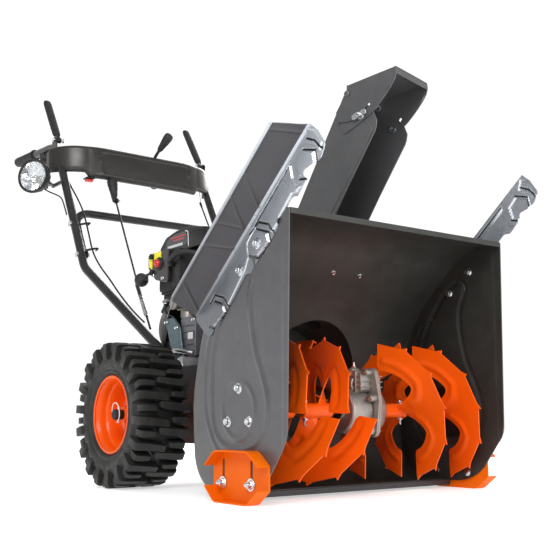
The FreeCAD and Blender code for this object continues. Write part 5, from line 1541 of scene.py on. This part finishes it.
# Ferrules, a thin inner wire from each lever and the clips that hold the cables to the handles.
for name, side in (("right", -1), ("left", 1)):
    wire_path = catmull([(side * 246, 1236, 1004), (side * 243, 1218, 950), (side * 238.4, 1199, 893.5)], 6)
    piece("clutch_wire_" + name, *sweep(wire_path, 0.9, 8), M["steel"], "chassis", smooth=40)
    top = np.array([side * 238.2, 1198.5, 892.6])
    run = np.array([side * 230.0, 1160, 848]) - top
    run /= np.linalg.norm(run)
    ferrule = [(-8, 0.05), (-8, 3.0), (-6, 4.0), (6, 4.0), (7, 3.4), (18, 3.4), (20, 2.7)]
    piece("clutch_ferrule_" + name, *lathe(ferrule, top, run, 20), M["black_steel"], "chassis", smooth=35)
    clips = []
    for y, z, reach in ((1094.0, 741.0, 32.0), (1030.0, 655.0, 28.0)):
        hook = catmull([(side * 252, y - 8, z - 2), (side * 240, y - 16, z + 1),
                        (side * 228, y - reach * 0.6, z + 4),
                        (side * 226, y - reach, z + 2), (side * 232, y - reach + 4, z - 5)], 5)
        clips.append(sweep(hook, [3.4] * 6 + list(np.linspace(3.4, 2.0, len(hook) - 6)), 10))
    piece("cable_clips_" + name, *merge(clips), M["plastic_matt"], "chassis", smooth=40)


# ------------------------------------------------------------ engine covers

def box_mesh(x0, x1, y0, y1, z0, z1, r=4):
    outline = round_poly([(y0, z0), (y1, z0), (y1, z1), (y0, z1)], r, 18)
    return prism(outline, (x0, 0, 0), (0, 1, 0), (0, 0, 1), (1, 0, 0), x1 - x0)


SHROUD = round_poly([(496, 602), (496, 645), (577, 660), (650, 658), (704, 647), (735, 620), (735, 602)],
                    [4, 12, 60, 60, 24, 12, 4], 6)


def shroud():
    """The gloss cover, rounded over along both sides."""
    cx, cz = 615.0, 602.0
    rows = []
    for x, k in ((-170, 0.955), (-169.4, 0.975), (-167.6, 0.99), (-164, 1.0), (-100, 1.004),
                 (-36, 1.0), (-32.4, 0.99), (-30.6, 0.975), (-30, 0.955)):
        rows.append([(x, cx + (y - cx) * k, cz + (z - cz) * k) for y, z in SHROUD])
    n = len(SHROUD)
    verts = [p for row in rows for p in row]
    faces = [(i * n + j, i * n + (j + 1) % n, (i + 1) * n + (j + 1) % n, (i + 1) * n + j)
             for i in range(len(rows) - 1) for j in range(n) if SHROUD[j][1] > 602.5
                 or SHROUD[(j + 1) % n][1] > 602.5]
    faces += [tuple(range(n - 1, -1, -1)), tuple(range((len(rows) - 1) * n, len(rows) * n))]
    piece("engine_cover_gloss", verts, faces, M["shroud"], "chassis", ["engine_shroud"], "shroud_plastic",
          smooth=32)
    label = round_poly([(700, 612), (694, 636), (660, 649), (604, 649), (594, 642), (590, 612)],
                       [10, 14, 40, 12, 8, 8], 8)
    v, f = prism(label, (-170.5, 0, 0), (0, 1, 0), (0, 0, 1), (1, 0, 0), 0.8)
    piece("cover_label", v, f, M["label"], "chassis", smooth=30, bevel=0.0002)
    stripes = []
    for y0, y1, z in ((674, 598, 638), (660, 606, 630)):
        stripes.append(box_mesh(-170.9, -170.2, y1, y0, z, z + 3.4, 1.2))
    piece("cover_stripes", *merge(stripes), M["red"], "chassis", smooth=30, bevel=0.0001)
    edge = catmull([(-171, 598, 649), (-171, 589, 647), (-171, 584, 640), (-171, 581, 606)], 6)
    light = [sweep(edge, 1.5, 8), box_mesh(-170.9, -170.2, 612, 690, 614, 621, 1.5)]
    piece("cover_edge_line", *merge(light), M["label_light"], "chassis", smooth=40)


shroud()


def control_panel():
    """Sloping panel with its ribbed tower, two blank tags and the choke knobs."""
    outline = round_poly([(642, 517), (690, 528), (730, 563), (732, 601), (624, 604), (624, 517)],
                         [6, 20, 10, 8, 6, 6], 10)
    face = prism(outline, (-206, 0, 0), (0, 1, 0), (0, 0, 1), (1, 0, 0), 38)
    piece("control_panel_body", *face, M["plastic"], "chassis", ["control_box"], "control_plastic",
          smooth=35, bevel=0.0018,
          segments=3)
    tower = [box_mesh(-196, -118.4, 600, 622, 502, 603, 8), box_mesh(-199, -120, 576, 598, 500, 600, 7),
             box_mesh(-178, -120, 622, 718, 500, 601, 8)]
    for k in range(6):
        tower.append(box_mesh(-200.6, -198.6, 578, 596, 508 + 15 * k, 512 + 15 * k, 1.5))
    tower.append(box_mesh(-170, -120, 616, 722, 494, 503, 3))
    piece("intake_tower", *merge(tower), M["plastic_matt"], "chassis", smooth=35, bevel=0.001)
    tags = [box_mesh(-206.9, -205.7, 660, 698, 583, 601, 2)]
    tags.append(prism(round_poly([(707, 558), (724, 566), (727, 588), (707, 588)], 2, 18), (-206.9, 0, 0),
                      (0, 1, 0),
                      (0, 0, 1), (1, 0, 0), 1.2))
    piece("panel_tags", *merge(tags), M["yellow"], "chassis", smooth=30, bevel=0.0002)
    socket = lathe([(0, 17.5), (3, 17.5), (5.6, 15.2), (6.2, 12.4), (2.0, 12.2)], (-205, *BULB_AT),
                   (-1, 0, 0), 40)
    knobs = [lathe([(0, 7), (5, 7), (6, 7.8), (8, 7.8), (9, 6.4), (9.2, 0.05)], (-205, 706, 592),
                   (-1, 0, 0), 24)]
    screws = [hexagon_bolt((-206, 650, 528), (-1, 0, 0), 5, 7, 3), hexagon_bolt((-206, 702, 542),
        (-1, 0, 0), 5, 7, 3)]
    piece("primer_socket", *merge([socket] + knobs), M["plastic_matt"], "chassis", smooth=35)
    piece("panel_screws", *merge(screws), M["zinc"], "chassis", smooth=30)
    ring = [lathe([(0.2, 11.4), (3, 11.4), (5, 10.6), (8.4, 9.2), (11, 6.2), (12.4, 3.2), (12.8, 0.05)],
                  (-209, *BULB_AT),
                  (-1, 0, 0), 36)]
    piece("primer_bulb_dome", *merge(ring), M["red"], "bulb", ["primer_bulb"], "bulb_rubber", smooth=60)
    hose = catmull([(-196, 610, 560), (-212, 606, 562), (-216, 592, 570), (-212, 570, 580),
                    (-200, 548, 584), (-176, 532, 580)], 8)
    clamp = lathe([(-4, 8.4), (4, 8.4), (4, 7.2), (-4, 7.2)], (-211, 606, 561.6), (-0.9, -0.3, 0.2), 24,
                  closed=True)
    piece("breather_hose", *sweep(hose, 7.0, 16), M["grip"], "chassis", smooth=50)
    piece("hose_clamp", *clamp, M["steel"], "chassis", smooth=35)


BULB_AT = (670.0, 569.0)
control_panel()


def throttle():
    ball = lathe([(19 * -math.cos(t), max(0.05, 19 * math.sin(t))) for t in np.linspace(0, math.pi, 25)],
                 (-205, 769, 538),
                 (-0.18, -0.95, 0.25), 40)
    neck = lathe([(0, 8.6), (3, 7.8), (12, 6.6), (16, 4.2)], (-206.0, 752, 541.4), (-0.02, -0.97, 0.23), 24)
    arm = sweep(catmull([(-207.5, 752, 541), (-209.4, 738, 544.6), (-210.4, 712, 548)], 5), 3.4, 12)
    eye = lathe([(-3, 3.1), (-3, 7.4), (3, 7.4), (3, 3.1)], (-209.4, 706, 549), (1, 0, 0), 32, closed=True)
    piece("throttle_ball", *merge([ball, neck, arm, eye]), M["grip"], "throttle", ["throttle_lever"],
          "throttle_ball",
          smooth=45)


throttle()


# ------------------------------------------------------------ carburettor side

def carburettor():
    cast = [box_mesh(-160, -112, 606, 656, 446, 480, 6), box_mesh(-152, -118, 596, 610, 440, 486, 4),
            lathe([(0, 17), (4, 19), (26, 19), (28, 16), (34, 15), (36, 8), (36, 0.05)], (-140, 632, 452),
                  (0, 0, -1), 32),
            lathe([(0, 15), (18, 15), (20, 18), (26, 18), (26, 0.05)], (-160, 630, 463), (-1, 0, 0), 32)]
    piece("carburettor_body", *merge(cast), M["cast"], "chassis", smooth=35, bevel=0.0008)
    links = [sweep(catmull([(-186, 650, 470), (-184, 672, 476), (-176, 696, 468), (-160, 712, 450)], 5),
                   1.4, 8),
             sweep(catmull([(-188, 630, 463), (-190, 640, 444), (-184, 662, 430), (-168, 690, 426)], 5),
                   1.3, 8)]
    for k in range(14):
        t = k / 13.0
        links.append(lathe([(-0.7, 3.6), (0.7, 3.6), (0.7, 2.6), (-0.7, 2.6)], (-182, 664 + 24 * t,
            474 - 2 * t), (0.1, 1, 0), 14,
                           closed=True))
    piece("governor_links", *merge(links), M["steel"], "chassis", smooth=35)
    cup = lathe([(0, 6), (2, 11), (8, 12), (26, 12), (28, 11), (28, 0.05)], (-150, 716, 470),
                (-0.2, 0.4, -0.9), 28)
    sleeve = box_mesh(-160, -120, 668, 726, 474, 503, 8)
    piece("intake_sleeve", *merge([cup, sleeve]), M["plastic_matt"], "chassis", smooth=40, bevel=0.0012)


carburettor()


def lower_covers():
    """The rounded black guard over the recoil housing's edge, a blue-grey tin and the grey crankcase side."""
    n = 30
    rows = []
    for x, grow in ((-168, 0.90), (-166, 0.96), (-160, 1.0), (-118, 1.0), (-92, 1.0)):
        row = []
        for k in range(n + 1):
            t = math.radians(-62 + 142 * k / n)
            row.append((x, 668 + 96 * grow * math.cos(t) * 0.78, 404 + 62 * grow * math.sin(t)))
        rows.append(row)
    verts = [p for row in rows for p in row]
    m = n + 1
    faces = [(i * m + k, i * m + k + 1, (i + 1) * m + k + 1, (i + 1) * m + k) for i in range(4)
             for k in range(n)]
    faces.append(tuple(range(m)))
    piece("flywheel_guard", verts, faces, M["plastic"], "chassis", smooth=45)
    tin = round_poly([(694, 424), (646, 428), (612, 400), (596, 330), (634, 318), (658, 352), (676, 396)],
                     [8, 10, 16, 6, 6, 20, 12], 10)
    v, f = prism(tin, (-176, 0, 0), (0, 1, 0), (0, 0, 1), (1, 0, 0), 6)
    piece("cylinder_tin", v, f, M["teal"], "chassis", smooth=35, bevel=0.0014)
    side = round_poly([(622, 424), (560, 424), (548, 404), (548, 322), (604, 322)], [8, 12, 8, 6, 6], 12)
    v, f = prism(side, (-168, 0, 0), (0, 1, 0), (0, 0, 1), (1, 0, 0), 76)
    ribs = [box_mesh(-171, -167, 552, 604, 336 + 16 * k, 340 + 16 * k, 1.5) for k in range(5)]
    piece("crankcase_side", *merge([(v, f)] + ribs), M["engine_cast"], "chassis", smooth=35, bevel=0.0016)
    plain = box_mesh(-171.6, -170.8, 554, 578, 366, 383, 1.5)
    piece("crankcase_tag", *plain, M["label_light"], "chassis", smooth=30)
    screws = [hexagon_bolt((-176.2, y, z), (-1, 0, 0), 5.4, 8, 4) for y, z in ((680, 416), (626, 398),
        (612, 336))]
    screws += [hexagon_bolt((-168.2, 556, 414), (-1, 0, 0), 5.4, 8, 4)]
    piece("tin_screws", *merge(screws), M["zinc"], "chassis", smooth=30)
    pipe = catmull([(-172, 652, 338), (-180, 630, 340), (-184, 600, 338), (-180, 572, 334),
                    (-168, 556, 330)], 6)
    piece("oil_pipe", *sweep(pipe, 6.5, 16), M["steel"], "chassis", smooth=50)


lower_covers()

# Spark lead, a short stiff wire.
lead = catmull([(-160, 690, 474), (-174, 690, 462), (-177, 684, 446), (-175, 672, 436), (-166, 660, 430)], 8)
piece("spark_lead", *sweep(lead, 3.2, 12), M["wire"], "chassis", smooth=50)


# ------------------------------------------------------------ adjuster on the shift rod

adjuster_run = [(-184.6, 808, 496), (-188, 770, 445)]
a0, a1 = np.array(adjuster_run[0]), np.array(adjuster_run[1])
way = (a1 - a0) / np.linalg.norm(a1 - a0)
long = float(np.linalg.norm(a1 - a0))
barrel = [(-6, 3.2), (-6, 5.4), (0, 5.4), (0.5, 6.6), (6, 6.9), (long - 6, 6.9), (long - 0.5, 6.6),
          (long, 5.4), (long + 6, 5.4),
          (long + 6, 3.2)]
piece("shift_rod_sleeve", *lathe(barrel, a0, way, 24), M["zinc"], "shift_link", smooth=35)


# ------------------------------------------------------------ recoil starter, muffler

def recoil():
    y0 = 742.4
    ribs = []
    shell = [(0, 108), (0, 112), (4, 113.2), (8, 112), (38, 112), (48, 108), (54, 98), (55, 90)]
    parts = [lathe(shell, (0, y0, 404), (0, 1, 0), 96)]
    inner = [(55, 62), (58, 60), (70, 60), (71.4, 54), (71.4, 0.05)]
    parts.append(lathe(inner, (0, y0, 404), (0, 1, 0), 64))
    for k in range(24):
        t = 2 * math.pi * k / 24
        c, s = math.cos(t), math.sin(t)
        ribs.append(sweep([(60 * c, y0 + 55, 404 + 60 * s), (78 * c, y0 + 54.4, 404 + 78 * s),
                           (92 * c, y0 + 54, 404 + 92 * s)],
                          [2.6, 2.6, 2.2], 8))
    piece("recoil_cowl", *merge(parts + ribs), M["shroud"], "chassis", ["recoil_starter"], "recoil_plastic",
          smooth=35)
    back = lathe([(50, 91), (50, 61)], (0, y0, 404), (0, 1, 0), 64)
    piece("recoil_screen", *back, M["plastic_matt"], "chassis", smooth=35)
    screws = []
    for k in range(4):
        t = math.radians(45 + 90 * k)
        screws.append(hexagon_bolt((103 * math.cos(t), y0 + 46, 404 + 103 * math.sin(t)), (0, 1, 0), 6.5, 8,
                                   4))
    piece("recoil_screws", *merge(screws), M["zinc"], "chassis", smooth=30)


recoil()


# ------------------------------------------------------------ chute and hood trim

def chute_at(u, f, z):
    c, s = math.cos(math.radians(14.4)), math.sin(math.radians(14.4))
    return (u * c + f * s, 355 + u * s - f * c, z)


def lean(z, front):
    return (176 if front else 60) + 0.624 * (z - 641)


hems = []
for u in (-65.7, 65.7):
    front = [(lean(502, True), 502), (lean(600, True), 600), (lean(700, True), 700), (286, 812), (290, 822),
             (292.4, 836), (284, 857),
             (262, 883), (228, 919)]
    hems.append(sweep([chute_at(u, f - 0.4, z) for f, z in front], 1.9, 10))
piece("chute_hems", *merge(hems), M["chute"], "chute", smooth=50)
ribs = []
for u, way in ((-67.2, -1), (67.2, 1)):
    bead_run = catmull([(lean(520, True) - 14, 520), (lean(640, True) - 14, 640), (268, 800), (274, 826),
                        (262, 842)], 6)
    ribs.append(sweep([chute_at(u, f, z) for f, z in bead_run], [0.4] + [2.0] * (len(bead_run) - 2) + [0.4],
                      10))
for z0, z1 in ((560, 690), (720, 850)):
    back = [chute_at(0, lean(z, False) - 0.2, z) for z in np.linspace(z0, z1, 8)]
    ribs.append(sweep(back, [0.6] + [3.4] * 6 + [0.6], 10))
piece("chute_beads", *merge(ribs), M["chute"], "chute", smooth=50)

hood = []
for u in (-68.8, 68.8):
    front = catmull([(347.4, 950), (348.2, 936), (341, 918), (314, 886.4), (281, 858), (240, 837),
                     (205, 822)], 4)
    hood.append(sweep([chute_at(u, f, z) for f, z in front], 1.7, 10))
hood.append(sweep([chute_at(-69, 347.4, 950.3), chute_at(0, 347.8, 950.3), chute_at(69, 347.4, 950.3)], 1.8,
                  10))
hood.append(sweep([chute_at(-69, 213, 936), chute_at(0, 213, 936), chute_at(69, 213, 936)], 1.6, 10))
piece("hood_hems", *merge(hood), M["chute"], "hood", smooth=50)

side_axis = np.array(chute_at(-1, 0, 0)) - np.array(chute_at(0, 0, 0))


def wing():
    """Formed sheet wings on a threaded hub."""
    base = np.array(chute_at(-70.4, 252, 856))
    up = np.array([0.0, 0.0, 1.0])
    out = np.cross(side_axis, up)
    tilt = math.radians(-14)
    along = out * math.cos(tilt) + up * math.sin(tilt)
    over = -out * math.sin(tilt) + up * math.cos(tilt)
    parts = [lathe([(0, 3.2), (0, 10), (1.6, 10), (1.8, 7.6), (4, 6.8), (10, 6.0), (11, 4.8), (11, 3.2)],
                   base, side_axis, 32)]
    for way in (-1, 1):
        outline = round_poly([(4, -4.6), (10, -7.6), (19.5, -7.0), (20.5, 5.5), (12, 7.4), (4, 4.6)],
                             [1, 5, 5, 6, 5, 1], 12)
        mesh = prism(outline, base + side_axis * (7.0 if way < 0 else 6.0), along * way, over, side_axis, 3.2)
        parts.append(mesh)
    parts.append(threaded_stud(base + side_axis * 10, side_axis, 2.9, 8.0))
    piece("wing_knob_formed", *merge(parts), M["zinc"], "wing_knob", ["hood_knob"], "knob_zinc", smooth=35,
          bevel=0.0008)


wing()
rivets = []
for u, way in ((-71.7, 1.0), (71.7, -1.0)):
    rivets.append(lathe([(0, 7.2), (1.2, 7.0), (2.6, 5.2), (3.4, 2.4), (3.5, 0.05)], chute_at(u, 214, 916),
                        side_axis * way, 24))
    rivets.append(lathe([(0, 7.6), (1.2, 7.2), (2.4, 5.0), (2.8, 0.05)], chute_at(math.copysign(64.4, u),
        214, 916),
                        side_axis * -way, 24))
piece("hinge_rivets", *merge(rivets), M["chute"], "chute", smooth=40)
heads = []
for u, way in ((-64.4, -1.0), (64.4, 1.0)):
    heads.append(lathe([(0, 9.2), (1.0, 8.8), (2.6, 6.2), (3.4, 3.0), (3.5, 0.05)], chute_at(u, 252, 856),
                       side_axis * way, 28))
piece("carriage_heads", *merge(heads), M["zinc"], "chute", smooth=40)


# ------------------------------------------------------------ floor, light, camera

def soft_light(name, location, target, size, power, color=(1, 1, 1), size_y=None):
    data = bpy.data.lights.new(name, "AREA")
    data.energy = power
    data.size = size
    data.color = color
    if size_y:
        data.shape = "RECTANGLE"
        data.size_y = size_y
    obj = link(bpy.data.objects.new(name, data))
    obj.location = location
    obj.rotation_euler = (Vector(target) - Vector(location)).to_track_quat("-Z", "Y").to_euler()
    return obj


floor_mesh = bpy.data.meshes.new("floor")
floor_mesh.from_pydata([(-30, -30, 0), (30, -30, 0), (30, 30, 0), (-30, 30, 0)], [], [(0, 1, 2, 3)])
floor = link(bpy.data.objects.new("floor", floor_mesh))
floor_look = surface("pale_floor", (0.80, 0.80, 0.80), 0.9, mottle=0.01, grain=0.02, grain_scale=200,
                     specular=0.1)
floor_look.node_tree.nodes["Principled BSDF"].inputs["Emission Color"].default_value = (1, 1, 1, 1)
floor_look.node_tree.nodes["Principled BSDF"].inputs["Emission Strength"].default_value = 0.50
floor_mesh.materials.append(floor_look)

world = bpy.data.worlds.new("studio")
bpy.context.scene.world = world
world.use_nodes = True
sky = world.node_tree
coordinates = sky.nodes.new("ShaderNodeTexCoord")
facing = sky.nodes.new("ShaderNodeVectorMath")
facing.operation = "DOT_PRODUCT"
facing.inputs[1].default_value = (0.61, 0.78, -0.10)
sky.links.new(coordinates.outputs["Generated"], facing.inputs[0])
sky.links.new(span(sky, facing.outputs["Value"], -0.15, 0.62, 0.40, 1.06),
              sky.nodes["Background"].inputs["Strength"])
sky.nodes["Background"].inputs["Color"].default_value = (1.0, 1.0, 1.0, 1)
soft_light("key", (-3.2, -3.4, 3.2), (0, -0.2, 0.5), 2.6, 170)
soft_light("front_low", (0.6, -4.2, 0.9), (0, -0.5, 0.4), 2.2, 60)
soft_light("rim_light", (3.0, 2.0, 3.0), (0, 0, 0.6), 2.4, 120)

PITCH, YAW, ROLL = 0.1452, 0.6586, -0.0058
forward = np.array([math.cos(PITCH) * math.sin(YAW), math.cos(PITCH) * math.cos(YAW), math.sin(PITCH)])
right0 = np.array([math.cos(YAW), -math.sin(YAW), 0.0])
up0 = np.cross(right0, forward)
right = right0 * math.cos(ROLL) + up0 * math.sin(ROLL)
up = -right0 * math.sin(ROLL) + up0 * math.cos(ROLL)
camera_data = bpy.data.cameras.new("camera")
camera_data.sensor_width = 36.0
camera_data.lens = 908 / 553 * 36
camera_data.shift_x = (276.5 - 302.6) / 553
camera_data.shift_y = (284.6 - 276.5) / 553
camera_data.clip_start = 0.05
camera_data.clip_end = 100
camera = link(bpy.data.objects.new("camera", camera_data))
rotation = Matrix(((right[0], up[0], -forward[0]), (right[1], up[1], -forward[1]),
                   (right[2], up[2], -forward[2])))
camera.matrix_world = Matrix.Translation((-1.3448, -1.4145 - OY / 1000, 0.1685)) @ rotation.to_4x4()
bpy.context.scene.camera = camera
bpy.context.scene.view_settings.view_transform = "Standard"
